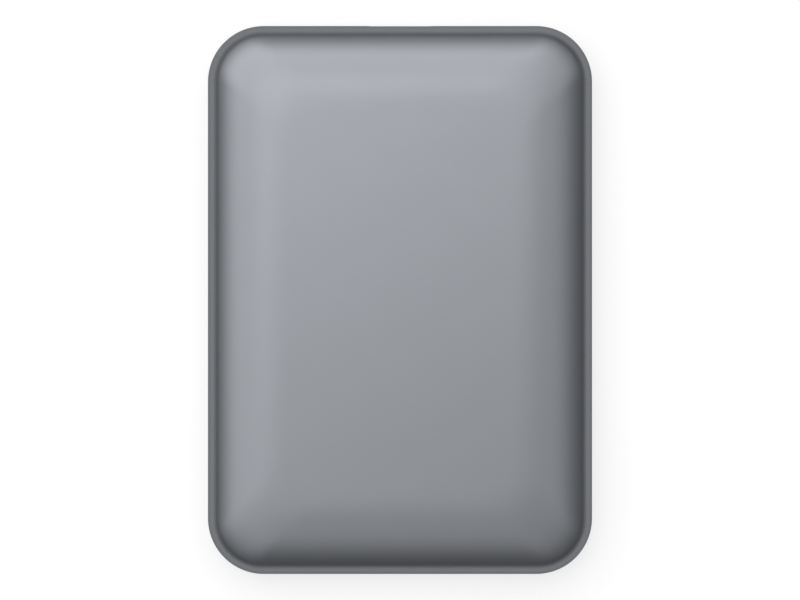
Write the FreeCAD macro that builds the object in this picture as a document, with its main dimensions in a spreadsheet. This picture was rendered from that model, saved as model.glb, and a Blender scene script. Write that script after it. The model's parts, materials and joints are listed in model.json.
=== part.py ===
import FreeCAD
import Part
import Sketcher
import math
import os
import re

# A pocket external hard drive: a pillow-shaped snap-together case, rubber corner bumpers,
# a bridge board with its socket, and the 2.5-inch disk drive inside with every working piece.
# Millimetres. X runs across the case, Y along it towards the socket end, Z up from the table.
# The sizes build from the inside out: the platter sets the drive and the drive sets the case.

doc = FreeCAD.newDocument("ExternalHardDrive")

SIZES = {
    # case
    "wall": 1.4,
    "corner_radius": 11.65,
    "corner_margin": 1.0,        # corner radius left where the swept shoulder meets the roof
    "shoulder_reach": 13.5,      # how far in from the side the roof begins
    "shoulder_drop": 7.8,        # how far the shoulder falls from the roof to the upright side
    "side_radius": 5.5,          # tighter arc of the shoulder, next to the side
    "part_line": 3.4,            # height of the seam between the two covers
    "seam_gap": 0.3,             # shadow groove along the seam
    "seam_depth": 0.5,
    "foot_inset": 2.6,           # two bevels round the bottom cover's lower edge
    "turn_inset": 0.7,
    "turn_height": 0.9,
    "lip_height": 1.6,           # locating lip inside the seam
    "lip_thickness": 0.9,
    "fit_gap": 0.1,              # gap between pieces that slide together
    "snap_half": 0.65,           # half of the bead's diagonal
    "snap_length": 8.0,
    "snap_proud": 0.45,
    "snap_rise": 0.9,            # snap bead's axis above the seam
    "snap_pitch": 30.0,
    "rib_height": 1.6,
    "rib_thickness": 1.2,
    "rib_span": 44.0,
    "rib_pitch": 16.0,
    # room round the drive
    "side_space": 5.175,
    "front_space": 4.87,
    "port_space": 9.175,
    "bumper_floor": 1.6,
    "bumper_height": 7.2,
    "bumper_leg": 15.0,
    "top_space": 3.4,
    "foam_width": 46.0,
    "foam_length": 12.0,
    "foam_front": 8.0,           # from the drive's front end to the front pad
    "foam_rear": 26.0,           # from the drive's rear end to the rear pad
    # disk and base casting
    "platter_diameter": 65.0,
    "platter_bore": 20.0,
    "platter_thickness": 0.635,
    "platter_height": 1.7,       # underside of the platter above the bowl's floor
    "platter_gap": 0.9,
    "base_wall": 1.525,
    "drive_corner": 2.5,
    "bowl_depth": 3.9,
    "floor_thickness": 0.55,
    "gasket_height": 0.3,
    "gasket_width": 0.9,
    "gasket_inset": 0.3,
    "lid_thickness": 0.6,
    "lid_emboss": 0.2,
    "lid_border": 3.0,
    "chamber_left": 22.0,
    "chamber_right": 27.5,
    "ramp_step": 0.4,
    "rear_wall": 2.2,
    "notch_depth": 7.0,
    # spindle motor
    "shaft_radius": 2.0,
    "bearing_gap": 0.05,
    "sleeve_radius": 4.0,
    "sleeve_floor": 0.3,         # closed end of the sleeve below the shaft
    "sleeve_top_gap": 0.15,      # sleeve's top below the hub's web
    "well_radius": 12.2,
    "well_depth": 1.0,
    "boss_wall": 0.9,
    "boss_step": 0.7,
    "flange_radius": 11.6,
    "skirt_drop": 1.5,
    "skirt_radius": 9.4,         # inside of the hub's skirt
    "hub_web": 0.585,
    "hub_drop": 0.1,             # hub's top below the platter's, so that the clamp presses on the disk
    "rotor_thickness": 0.8,
    "rotor_height": 1.4,
    "motor_gap": 0.3,
    "stator_height": 0.9,
    "stator_lift": 0.45,
    "stator_ring": 1.1,
    "tooth_width": 1.5,
    "winding_thickness": 0.35,
    "clamp_thickness": 0.35,
    # actuator
    "pivot_offset": 8.0,
    "pivot_rim_gap": 5.5,
    "pivot_radius": 1.5,
    "bearing_wall": 1.45,
    "arm_hub_wall": 2.2,
    "arm_reach": 31.0,
    "arm_length": 19.0,
    "arm_root_half": 4.6,
    "arm_tip_half": 2.0,
    "arm_thickness": 0.7,
    "suspension_thickness": 0.15,
    "suspension_overlap": 3.0,
    "tab_length": 2.6,
    "tab_half": 0.3,
    "slider_length": 1.24,
    "slider_half": 0.5,
    "slider_height": 0.23,
    "head_gap": 0.08,
    "data_inner_radius": 14.5,
    "coil_inner_radius": 8.4,
    "coil_outer_radius": 16.0,
    "coil_inner_half": 3.4,
    "coil_outer_half": 6.4,
    "coil_band": 1.8,
    "coil_thickness": 0.95,
    "coil_gap": 0.6,
    "tine_width": 1.0,
    "magnet_gap": 0.2,
    "magnet_thickness": 0.65,
    "magnet_inner_radius": 8.0,
    "magnet_outer_radius": 16.4,
    "magnet_margin": 3.0,        # degrees between a magnet's end and the post beside it
    "yoke_inner_radius": 7.2,
    "yoke_outer_radius": 17.0,
    "yoke_overlap": 6.0,         # degrees of yoke beyond a post's axis
    "post_radius": 1.0,
    "post_circle": 12.5,
    "stop_clearance": 1.0,       # degrees
    "ramp_clearance": 0.3,
    "ramp_tip_gap": 0.58,        # parked tab's tip to the wall behind the ramp
    "ramp_slider_gap": 0.18,     # parked head to the ramp's bar
    "ramp_rim_gap": 0.43,        # platter's rim to the ramp's bar
    "ramp_foot_gap": 7.2,        # parked tab's tip to the ramp's foot
    "ramp_foot_width": 2.7,
    "ramp_foot_length": 3.6,
    "flex_width": 8.9,
    "flex_length": 9.0,
    "flex_height": 2.3,
    "flex_rim_gap": 1.5,
    "ribbon_thickness": 0.15,
    "ribbon_height": 1.6,
    "ribbon_clearance": 0.3,
    "ribbon_drop": 3.0,
    "filter_width": 2.8,
    "filter_length": 4.0,
    "filter_height": 3.2,
    "pouch_width": 10.0,
    "pouch_length": 8.5,
    "pouch_height": 2.2,
    # drive's own circuit board
    "board_space": 0.9,
    "board_thickness": 0.6,
    "board_air": 0.15,
    "board_inset": 3.4,
    "board_front": 14.0,         # from the spindle's axis
    "board_back": 0.8,
    "board_fit": 0.3,
    "chip_height": 0.75,
    "controller_place": 10.0,    # from the board's front edge
    "driver_place": 6.0,
    "controller_side": 12.0,
    "driver_side": 7.0,
    "cache_width": 8.0,
    "cache_length": 10.0,
    # drive's plug and the bridge board's receptacle
    "sata_offset": -6.0,
    "sata_height": 3.5,          # tongue's middle above the drive's underside
    "plug_width": 35.8,
    "plug_depth": 2.2,
    "plug_rise": 5.0,
    "plug_side_gap": 0.5,
    "tongue_thickness": 1.2,
    "tongue_length": 4.2,
    "key_height": 2.1,           # short leg that makes each tongue an L
    "signal_tongue": 10.4,
    "power_tongue": 20.6,
    "tongue_spacing": 2.2,
    "receptacle_step": 0.3,      # how far the plug stands out beside the receptacle
    "receptacle_height": 3.0,
    "receptacle_foot": 2.6,
    "bridge_thickness": 1.0,
    "bridge_left": 26.0,
    "bridge_right": 24.0,
    "bridge_gap": 0.4,
    "bridge_post": 1.6,
    "bridge_post_left": 23.5,
    "bridge_post_right": 15.0,
    "bridge_chip_side": 5.0,
    "bridge_chip_height": 0.85,
    "inductor_side": 3.0,
    "inductor_height": 1.5,
    "crystal_width": 2.5,
    "crystal_length": 2.0,
    "crystal_height": 0.7,
    "capacitor_length": 1.6,
    "capacitor_width": 0.8,
    "capacitor_height": 0.8,
    "capacitor_pitch": 2.4,
    # socket in the end wall
    "usb_offset": 0.0,
    "usb_width": 12.8,
    "usb_height": 2.6,
    "usb_depth": 5.6,
    "usb_wall": 0.3,
    "usb_corner": 0.5,
    "usb_recess": 0.5,
    "usb_opening_margin": 0.3,
    "main_bay": 6.9,
    "side_bay": 4.1,
    "bay_neck": 0.8,             # width of the narrow join between the two bays
    "neck_height": 0.7,
    "bay_chamfer": 0.7,
    "bay_floor": 1.0,            # closed end of the socket
    "usb_tongue_thickness": 0.6,
    "main_tongue": 4.6,
    "side_tongue": 2.8,
    "usb_tongue_length": 3.6,
    "contact_pitch": 0.65,
    "side_contact_pitch": 0.5,
    "contact_width": 0.24,
    "contact_thickness": 0.1,
    "contact_length": 3.0,
    # activity light
    "light_offset": 20.0,
    "light_width": 2.4,
    "light_height": 1.2,
    "light_flange": 0.3,
    "light_flange_length": 0.6,
    "led_length": 1.4,
    "led_width": 3.0,
    "led_height": 1.7,
}

LAYOUT = {
    "platter_radius": "platter_diameter / 2",
    "bowl_radius": "platter_radius + platter_gap",
    "drive_half": "bowl_radius + base_wall",
    "case_half": "drive_half + side_space",
    # heights
    "drive_low": "wall + bumper_floor",
    "board_low": "drive_low + board_space",
    "board_top": "board_low + board_thickness",
    "floor_low": "board_top + board_air",
    "floor_top": "floor_low + floor_thickness",
    "platter_low": "floor_top + platter_height",
    "platter_top": "platter_low + platter_thickness",
    "rim_top": "floor_top + bowl_depth",
    "lid_low": "rim_top + gasket_height",
    "drive_top": "lid_low + lid_thickness",
    "case_height": "drive_top + top_space + wall",
    # actuator geometry, from the pivot
    "pivot_reach": "platter_radius + pivot_rim_gap",
    "pivot_distance": "sqrt(pivot_offset ^ 2 + pivot_reach ^ 2)",
    "pivot_bearing_angle": "180 + atan(pivot_reach / pivot_offset) / 1 deg",
    "ramp_right": "bowl_radius - ramp_step",
    "tab_reach": "arm_reach + tab_length",
    "park_angle": "360 - acos((ramp_right - ramp_tip_gap - pivot_offset) / tab_reach) / 1 deg",
    "inner_spread": "acos((pivot_distance ^ 2 + arm_reach ^ 2 - data_inner_radius ^ 2)"
                    " / (2 * pivot_distance * arm_reach)) / 1 deg",
    "swing": "park_angle - pivot_bearing_angle - inner_spread",
    "parked_tip": "pivot_reach + tab_reach * sin(park_angle)",
    "parked_head": "pivot_offset + (arm_reach + slider_length / 2) * cos(park_angle) + slider_half",
    "ramp_zone": "parked_tip + ramp_foot_gap + ramp_foot_length + ramp_clearance",
    "tine_half": "coil_outer_half + tine_width",
    "coil_sweep": "sqrt(coil_outer_radius ^ 2 + tine_half ^ 2)",
    "tine_angle": "atan((coil_inner_half + tine_width) / coil_inner_radius) / 1 deg",
    "stop_angle": "asin(post_radius / post_circle) / 1 deg + stop_clearance",
    "post_angle_low": "park_angle - 180 - swing - tine_angle - stop_angle",
    "post_angle_high": "park_angle - 180 + tine_angle + stop_angle",
    "bearing_bore": "pivot_radius + bearing_gap",
    "bearing_radius": "bearing_bore + bearing_wall",
    "arm_hub_radius": "bearing_radius + arm_hub_wall",
    "upper_suspension_low": "platter_top + head_gap + slider_height",
    "upper_arm_low": "upper_suspension_low + suspension_thickness",
    "upper_arm_top": "upper_arm_low + arm_thickness",
    "lower_suspension_top": "platter_low - head_gap - slider_height",
    "lower_arm_top": "lower_suspension_top - suspension_thickness",
    "lower_arm_low": "lower_arm_top - arm_thickness",
    "coil_low": "(platter_low + platter_top - coil_thickness) / 2",
    "coil_top": "coil_low + coil_thickness",
    "lower_magnet_low": "coil_low - magnet_gap - magnet_thickness",
    "yoke_thickness": "lower_magnet_low - floor_top",
    "upper_magnet_low": "coil_top + magnet_gap",
    "upper_yoke_low": "upper_magnet_low + magnet_thickness",
    # lengths, from the spindle's axis
    "chamber_rear": "pivot_reach + coil_sweep + coil_gap",
    "drive_rear": "chamber_rear + rear_wall + notch_depth",
    "drive_length": "drive_half + drive_rear",
    "case_length": "front_space + drive_length + port_space",
    "end_half": "case_length / 2",
    "spindle_y": "front_space + drive_half - end_half",
    "pivot_y": "spindle_y + pivot_reach",
    "drive_front_y": "spindle_y - drive_half",
    "drive_rear_y": "spindle_y + drive_rear",
    # shoulder of the top cover: two arcs that meet smoothly
    "shoulder_base": "case_height - shoulder_drop",
    "roof_radius": "(shoulder_reach ^ 2 + shoulder_drop ^ 2 - 2 * shoulder_reach * side_radius)"
                   " / (2 * (shoulder_drop - side_radius))",
    "roof_centre": "case_height - roof_radius",
    "sweep_reach": "corner_radius - corner_margin",
    "sweep_top": "roof_centre + sqrt(roof_radius ^ 2 - (shoulder_reach - sweep_reach) ^ 2)",
    "roof_low": "roof_centre + sqrt((roof_radius - wall) ^ 2 - (shoulder_reach - sweep_reach) ^ 2)",
    "lip_outer": "wall + fit_gap",
    "lip_inner": "lip_outer + lip_thickness",
    "snap_height": "part_line + snap_rise",
    # spindle motor
    "well_low": "floor_top - well_depth",
    "boss_radius": "sleeve_radius + boss_wall",
    "stator_low": "well_low + stator_lift",
    "stator_radius": "skirt_radius - rotor_thickness - motor_gap",
    "stator_ring_radius": "boss_radius + stator_ring",
    "skirt_low": "platter_low - skirt_drop",
    "hub_top": "platter_top - hub_drop",
    "hub_fit": "platter_bore / 2 - bearing_gap",
    # bridge board and socket
    "sata_z": "drive_low + sata_height",
    "bridge_top": "sata_z - receptacle_height / 2",
    "bridge_low": "bridge_top - bridge_thickness",
    "bridge_front": "drive_rear_y + bridge_gap",
    "bridge_rear": "end_half - wall - bridge_gap",
    "receptacle_width": "plug_width - 2 * receptacle_step",
    "receptacle_front": "drive_rear_y - notch_depth + plug_side_gap + plug_depth + fit_gap",
    "receptacle_rear": "drive_rear_y + receptacle_foot",
    "usb_z": "bridge_top + usb_height / 2",
    "usb_mouth": "end_half - usb_recess",
    "usb_back": "usb_mouth - usb_depth",
    "bay_half": "usb_height / 2 - usb_wall",
    "bay_left": "usb_offset - usb_width / 2 + usb_wall",
    "main_right": "bay_left + main_bay",
    "side_left": "main_right + bay_neck",
    "side_right": "side_left + side_bay",
    "tongue_low": "usb_z - usb_tongue_thickness / 2 + contact_thickness",
}

sheet = doc.addObject("Spreadsheet::Sheet", "Sizes")
for row, (name, size) in enumerate(SIZES.items(), 1):
    sheet.set("A%d" % row, str(size))
    sheet.setAlias("A%d" % row, name)
doc.recompute()


def qualified(expression, inside_layout=False):
    """Put the owner's name before each size in an expression, as FreeCAD wants it."""

    def owner(match):
        word = match.group(0)
        if word in SIZES:
            return "Sizes." + word
        if word in LAYOUT and not inside_layout:
            return "Layout." + word
        return word

    return re.sub(r"[A-Za-z_]\w*", owner, str(expression))


layout = doc.addObject("App::FeaturePython", "Layout")
for name, expression in LAYOUT.items():
    layout.addProperty("App::PropertyFloat", name)
    layout.setExpression(name, qualified(expression, inside_layout=True))
doc.recompute()


def number(expression):
    """The present value of an expression, for drawing a sketch close to its solved form."""
    return float(layout.evalExpression(qualified(expression)))


def bind(item, expressions):
    for path, expression in expressions.items():
        item.setExpression(path, qualified(expression))


def place(item, x, y, z):
    bind(item, {"Placement.Base.x": x, "Placement.Base.y": y, "Placement.Base.z": z})


def block(name, low, size):
    """A box from its low corner and its size along X, Y and Z."""
    item = doc.addObject("Part::Box", name)
    place(item, *low)
    bind(item, {"Length": size[0], "Width": size[1], "Height": size[2]})
    return item


def disc(name, foot, radius, height):
    item = doc.addObject("Part::Cylinder", name)
    place(item, *foot)
    bind(item, {"Radius": radius, "Height": height})
    return item


def sector(name, foot, radius, height, start, sweep):
    """A slice of a cylinder, turned about Z to its start angle in degrees."""
    item = disc(name, foot, radius, height)
    item.Placement.Rotation = FreeCAD.Rotation(FreeCAD.Vector(0, 0, 1), 1)
    bind(item, {"Placement.Rotation.Angle": start, "Angle": sweep})
    return item


def fuse(name, pieces):
    item = doc.addObject("Part::MultiFuse", name)
    item.Shapes = pieces
    item.Refine = True
    return item


def cut(name, base, tool):
    item = doc.addObject("Part::Cut", name)
    item.Base = base
    item.Tool = tool
    return item


def bundle(name, pieces):
    """Several loose solids of one kind kept under one name."""
    item = doc.addObject("Part::Compound", name)
    item.Links = pieces
    return item


def tube(name, foot, outer, inner, height):
    return cut(name, disc(name + "_outside", foot, outer, height), disc(name + "_bore", foot, inner, height))


def new_body(name, x="0", y="0", angle=None):
    body = doc.addObject("PartDesign::Body", name)
    if angle is not None:
        body.Placement.Rotation = FreeCAD.Rotation(FreeCAD.Vector(0, 0, 1), 1)
        bind(body, {"Placement.Rotation.Angle": angle})
    place(body, x, y, "0")
    return body


def origin_plane(body, role):
    return [feature for feature in body.Origin.OriginFeatures if feature.Role == role][0]


def new_sketch(body, name, height="0", role="XY_Plane"):
    sketch = body.newObject("Sketcher::SketchObject", name)
    sketch.AttachmentSupport = [(origin_plane(body, role), "")]
    sketch.MapMode = "FlatFace"
    bind(sketch, {"AttachmentOffset.Base.z": height})
    return sketch


def dimension(sketch, kind, geometry, expression):
    """Add a dimension whose value follows an expression."""
    index = sketch.addConstraint(Sketcher.Constraint(kind, *geometry, number(expression)))
    bind(sketch, {"Constraints[%d]" % index: expression})


def join(sketch, kind, first, second):
    sketch.addConstraint(Sketcher.Constraint(kind, first, 2, second, 1))


def draw_polygon(sketch, corners):
    points = [FreeCAD.Vector(number(x), number(y), 0) for x, y in corners]
    first = sketch.GeometryCount
    count = len(corners)
    for index in range(count):
        sketch.addGeometry(Part.LineSegment(points[index], points[(index + 1) % count]))
    for index in range(count):
        join(sketch, "Coincident", first + index, first + (index + 1) % count)
    for index, (x, y) in enumerate(corners):
        dimension(sketch, "DistanceX", (first + index, 1), x)
        dimension(sketch, "DistanceY", (first + index, 1), y)


def draw_circle(sketch, x, y, radius):
    centre = FreeCAD.Vector(number(x), number(y), 0)
    index = sketch.addGeometry(Part.Circle(centre, FreeCAD.Vector(0, 0, 1), number(radius)))
    dimension(sketch, "Radius", (index,), radius)
    dimension(sketch, "DistanceX", (index, 3), x)
    dimension(sketch, "DistanceY", (index, 3), y)


def arc_between(centre, start, end):
    """The shorter arc from start to end, counter-clockwise when it turns left."""
    radius = start.distanceToPoint(centre)
    middle = ((start + end) * 0.5).sub(centre).normalize() * radius + centre
    return Part.Arc(start, middle, end)


def draw_rounded(sketch, left, right, front, rear, radius):
    """A rectangle with four equal round corners."""
    x_low, x_high, y_low, y_high = [number(side) for side in (left, right, front, rear)]
    round_by = number(radius)
    corners = [(x_high, y_low, -90), (x_high, y_high, 0), (x_low, y_high, 90), (x_low, y_low, 180)]
    ends = []
    for x, y, start in corners:
        inward_x = math.copysign(round_by, x_low + x_high - 2 * x)
        inward_y = math.copysign(round_by, y_low + y_high - 2 * y)
        centre = FreeCAD.Vector(x + inward_x, y + inward_y, 0)
        spokes = []
        for angle in (start, start + 90):
            spoke = FreeCAD.Vector(math.cos(math.radians(angle)), math.sin(math.radians(angle)), 0)
            spokes.append(centre + spoke * round_by)
        ends.append((centre, spokes[0], spokes[1]))
    for index in range(4):
        centre, start, end = ends[index]
        sketch.addGeometry(Part.LineSegment(ends[index - 1][2], start))
        sketch.addGeometry(arc_between(centre, start, end))
    for index in range(8):
        join(sketch, "Tangent", index, (index + 1) % 8)
    for index, kind in ((0, "Horizontal"), (2, "Vertical"), (4, "Horizontal"), (6, "Vertical")):
        sketch.addConstraint(Sketcher.Constraint(kind, index))
    for index in (3, 5, 7):
        sketch.addConstraint(Sketcher.Constraint("Equal", 1, index))
    dimension(sketch, "Radius", (1,), radius)
    dimension(sketch, "DistanceX", (2, 1), right)
    dimension(sketch, "DistanceX", (6, 1), left)
    dimension(sketch, "DistanceY", (0, 1), front)
    dimension(sketch, "DistanceY", (4, 1), rear)


def case_outline(body, name, height, inset, radius=None):
    """The case's outline drawn in by an inset, on a plane at a height."""
    sketch = new_sketch(body, name, height)
    half = "case_half - (%s)" % inset
    end = "end_half - (%s)" % inset
    corner = radius or "corner_radius - (%s)" % inset
    draw_rounded(sketch, "-(%s)" % half, half, "-(%s)" % end, end, corner)
    return sketch


def finish_feature(feature, profile, sizes):
    feature.Profile = profile
    bind(feature, sizes)
    return feature


def pad(body, profile, height):
    feature = body.newObject("PartDesign::Pad", profile.Name + "_pad")
    return finish_feature(feature, profile, {"Length": height})


def pocket(body, profile, depth):
    """Cut downwards from the sketch's plane."""
    feature = body.newObject("PartDesign::Pocket", profile.Name + "_cut")
    return finish_feature(feature, profile, {"Length": depth})


def revolve(body, name, corners):
    """Turn a profile of radius and height pairs about the body's own Z axis."""
    sketch = new_sketch(body, name, role="XZ_Plane")
    draw_polygon(sketch, corners)
    turned = body.newObject("PartDesign::Revolution", name + "_turned")
    turned.Profile = sketch
    turned.ReferenceAxis = (sketch, ["V_Axis"])
    turned.Angle = 360
    return turned


# Top cover: one wall section swept round the case's outline, closed by a slightly crowned roof.
top_shell = new_body("top_shell")
top_path = case_outline(top_shell, "top_path", "0", "0")
section = new_sketch(top_shell, "wall_section", role="XZ_Plane")
meet_x = "(shoulder_reach - side_radius) / (roof_radius - side_radius)"
meet_z = "(shoulder_base - roof_centre) / (roof_radius - side_radius)"


def section_point(inset, height):
    return FreeCAD.Vector(number("case_half - (%s)" % inset), number(height), 0)


def meeting_inset(radius):
    """How far in the two shoulder arcs meet, on the line through both centres."""
    return "shoulder_reach - %s * %s" % (radius, meet_x)


def meeting_height(radius):
    return "roof_centre + %s * %s" % (radius, meet_z)


def meeting_point(radius):
    return section_point(meeting_inset(radius), meeting_height(radius))


side_arc_centre = section_point("side_radius", "shoulder_base")
roof_arc_centre = section_point("shoulder_reach", "roof_centre")
outside = [
    section_point("0", "part_line"),
    section_point("0", "shoulder_base"),
    meeting_point("roof_radius"),
    section_point("sweep_reach", "sweep_top"),
]
inside = [
    section_point("sweep_reach", "roof_low"),
    meeting_point("(roof_radius - wall)"),
    section_point("wall", "shoulder_base"),
    section_point("wall", "part_line"),
]
section.addGeometry(Part.LineSegment(outside[0], outside[1]))
section.addGeometry(arc_between(side_arc_centre, outside[1], outside[2]))
section.addGeometry(arc_between(roof_arc_centre, outside[2], outside[3]))
section.addGeometry(Part.LineSegment(outside[3], inside[0]))
for index in range(4):
    section.addGeometry(Part.LineSegment(inside[index], (inside + outside)[index + 1]))
for index in range(8):
    join(section, "Tangent" if index < 2 else "Coincident", index, (index + 1) % 8)
for line in (0, 3, 6):
    section.addConstraint(Sketcher.Constraint("Vertical", line))
section.addConstraint(Sketcher.Constraint("Horizontal", 7))
dimension(section, "DistanceX", (0, 1), "case_half")
dimension(section, "DistanceY", (0, 1), "part_line")
dimension(section, "Radius", (1,), "side_radius")
dimension(section, "DistanceY", (1, 3), "shoulder_base")
dimension(section, "DistanceX", (2, 3), "case_half - shoulder_reach")
dimension(section, "DistanceY", (2, 3), "roof_centre")
dimension(section, "DistanceX", (3, 1), "case_half - sweep_reach")
dimension(section, "DistanceY", (3, 2), "roof_low")
dimension(section, "DistanceX", (4, 2), "case_half - (%s)" % meeting_inset("(roof_radius - wall)"))
dimension(section, "DistanceY", (4, 2), meeting_height("(roof_radius - wall)"))
dimension(section, "DistanceX", (6, 1), "case_half - wall")
dimension(section, "DistanceY", (6, 1), "shoulder_base")
swept_wall = top_shell.newObject("PartDesign::AdditivePipe", "swept_wall")
swept_wall.Profile = section
swept_wall.Spine = (top_path, ["Edge%d" % edge for edge in range(1, 9)])
roof = case_outline(top_shell, "roof_outline", "roof_low", "sweep_reach")
pad(top_shell, roof, "sweep_top - roof_low")
crown_foot = case_outline(top_shell, "crown_foot", "sweep_top", "sweep_reach")
crown_top = case_outline(top_shell, "crown_top", "case_height", "shoulder_reach", "corner_margin")
crown = top_shell.newObject("PartDesign::AdditiveLoft", "crown")
crown.Profile = crown_foot
crown.Sections = [crown_top]
crown.Ruled = True

# Stiffening ribs under the roof, between the two foam pads.
foam_front_y = "drive_front_y + foam_front"
foam_rear_y = "drive_rear_y - foam_rear"
rib_middle = "(%s + foam_length + %s) / 2" % (foam_front_y, foam_rear_y)
rib_low = "roof_low - rib_height"
ribs = []
for step in (-1, 0, 1):
    low = ("-rib_span / 2", "%s + %d * rib_pitch - rib_thickness / 2" % (rib_middle, step), rib_low)
    size = ("rib_span", "rib_thickness", "rib_height + wall / 2")
    ribs.append(block("cross_rib_%d" % (step + 2), low, size))
for side in (-1, 1):
    low = ("%d * rib_span / 4 - rib_thickness / 2" % side, "%s - rib_pitch" % rib_middle, rib_low)
    size = ("rib_thickness", "2 * rib_pitch", "rib_height + wall / 2")
    ribs.append(block("long_rib_%d" % (side + 2), low, size))


def ridge(name, start, half, length, axis):
    """A square bar turned onto its edge, lying along X or Y, with its middle line at start."""
    side = "%s * sqrt(2)" % half
    low_z = "%s - %s" % (start[2], half)
    if axis == "X":
        item = block(name, (start[0], start[1], low_z), (length, side, side))
        item.Placement.Rotation = FreeCAD.Rotation(FreeCAD.Vector(1, 0, 0), 45)
    else:
        item = block(name, (start[0], start[1], low_z), (side, length, side))
        item.Placement.Rotation = FreeCAD.Rotation(FreeCAD.Vector(0, -1, 0), 45)
    return item


def snap_beads(name, grow):
    """The snap beads along both sides and the front, each made larger by grow for its pocket."""
    beads = []
    inset = "(lip_outer + snap_half - snap_proud)"
    half = "(snap_half + %s)" % grow
    length = "snap_length + 2 * %s" % grow
    for side in (-1, 1):
        for step in (-1, 0, 1):
            start_y = "%d * snap_pitch - snap_length / 2 - %s" % (step, grow)
            start = ("%d * (case_half - %s)" % (side, inset), start_y, "snap_height")
            beads.append(ridge("%s_side_%d_%d" % (name, side + 2, step + 2), start, half, length, "Y"))
        start_x = "%d * snap_pitch / 2 - snap_length / 2 - %s" % (side, grow)
        start = (start_x, "%s - end_half" % inset, "snap_height")
        beads.append(ridge("%s_front_%d" % (name, side + 2), start, half, length, "X"))
    return beads


def end_prism(name, left, right, low, high, radius, start, length):
    """A rounded bar through the socket end, from a plane at start towards the middle."""
    body = new_body(name)
    sketch = new_sketch(body, name + "_outline", "-(%s)" % start, "XZ_Plane")
    draw_rounded(sketch, left, right, low, high, radius)
    pad(body, sketch, length)
    return body


port_side = "usb_width / 2 + usb_opening_margin"
port_rise = "usb_height / 2 + usb_opening_margin"
port_tool = end_prism(
    "port_tool", "usb_offset - (%s)" % port_side, "usb_offset + %s" % port_side,
    "part_line - wall", "usb_z + %s" % port_rise,
    "usb_corner + usb_opening_margin", "end_half + wall", "3 * wall",
)
light_z = "(bridge_top + light_height / 2 + light_flange + fit_gap)"
light_tool = block(
    "light_tool",
    ("light_offset - light_width / 2 - fit_gap", "end_half - 2 * wall",
     "%s - light_height / 2 - fit_gap" % light_z),
    ("light_width + 2 * fit_gap", "3 * wall", "light_height + 2 * fit_gap"),
)
top_ribbed = fuse("top_ribbed", [top_shell] + ribs)
top_openings = bundle("top_openings", [port_tool, light_tool] + snap_beads("snap_pocket", "fit_gap"))
top_cover = cut("top_cover", top_ribbed, top_openings)

# Bottom cover: a bevelled tray with a locating lip, snap beads, posts for the bridge board and
# a tab that closes the socket's notch in the top cover from below.
tray = new_body("tray")
tray_sides = tray.newObject("PartDesign::AdditiveLoft", "tray_sides")
tray_foot = case_outline(tray, "tray_foot", "0", "foot_inset")
tray_turn = case_outline(tray, "tray_turn", "turn_height", "turn_inset")
tray_brim = case_outline(tray, "tray_brim", "part_line - seam_gap", "0")
tray_sides.Profile = tray_foot
tray_sides.Sections = [tray_turn, tray_brim]
tray_sides.Ruled = True
pad(tray, case_outline(tray, "tray_seam", "part_line - seam_gap", "seam_depth"), "seam_gap")
pad(tray, case_outline(tray, "tray_lip", "part_line", "lip_outer"), "lip_height")
tray_hollow = case_outline(tray, "tray_hollow", "part_line + lip_height", "lip_inner")
pocket(tray, tray_hollow, "part_line + lip_height - wall")
board_gap = block(
    "board_gap",
    ("-(bridge_left + bridge_gap)", "end_half - 2 * lip_inner", "bridge_low - bridge_gap"),
    ("bridge_left + bridge_right + 2 * bridge_gap", "2 * lip_inner - wall", "lip_height + wall"),
)
posts = []
for name, x in (("left", "-bridge_post_left"), ("right", "bridge_post_right")):
    low = ("%s - bridge_post" % x, "(bridge_front + bridge_rear) / 2 - bridge_post", "wall / 2")
    size = ("2 * bridge_post", "2 * bridge_post", "bridge_low - wall / 2")
    posts.append(block("bridge_post_%s" % name, low, size))
port_tab = block(
    "port_tab",
    ("usb_offset - (%s) + fit_gap" % port_side, "end_half - wall", "part_line - seam_gap"),
    ("2 * (%s - fit_gap)" % port_side, "wall", "usb_z - (%s) - part_line + seam_gap" % port_rise),
)
tray_open = cut("tray_open", tray, board_gap)
bottom_cover = fuse("bottom_cover", [tray_open, port_tab] + snap_beads("snap_bead", "0") + posts)

# Rubber corner bumpers between the drive and the lip, and the foam pads above the drive.
bumper_stock = new_body("bumper_stock")
bumper_outline = case_outline(bumper_stock, "bumper_outline", "wall", "lip_inner + fit_gap")
pad(bumper_stock, bumper_outline, "bumper_height")


def drive_outline(body, name, height, inset, radius=None):
    """The disk drive's outline drawn in by an inset, with the spindle's axis at the origin."""
    sketch = new_sketch(body, name, height)
    half = "drive_half - (%s)" % inset
    corner = radius or "drive_corner - (%s)" % inset
    draw_rounded(sketch, "-(%s)" % half, half, "-(%s)" % half, "drive_rear - (%s)" % inset, corner)
    return sketch


drive_stock = new_body("drive_stock", y="spindle_y")
pad(drive_stock, drive_outline(drive_stock, "stock_outline", "drive_low", "0"), "drive_top - drive_low")
bumpers = []
for end_name, end_low, leg in (("front", "-end_half", "front_space + bumper_leg"),
                               ("rear", "drive_rear_y - bumper_leg", "port_space + bumper_leg")):
    for side_name, side_low in (("left", "-case_half"), ("right", "bridge_left + 2 * bridge_gap")):
        name = "corner_bumper_%s_%s" % (end_name, side_name)
        width = "case_half - bridge_left - 2 * bridge_gap"
        corner = block(name + "_corner", (side_low, end_low, "0"), (width, leg, "case_height"))
        filled = doc.addObject("Part::Common", name + "_filled")
        filled.Base = bumper_stock
        filled.Tool = corner
        bumpers.append(cut(name, filled, drive_stock))
foam_pads = []
for name, y in (("foam_pad_front", foam_front_y), ("foam_pad_rear", foam_rear_y)):
    size = ("foam_width", "foam_length", "roof_low - drive_top")
    foam_pads.append(block(name, ("-foam_width / 2", y, "drive_top"), size))


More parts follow.
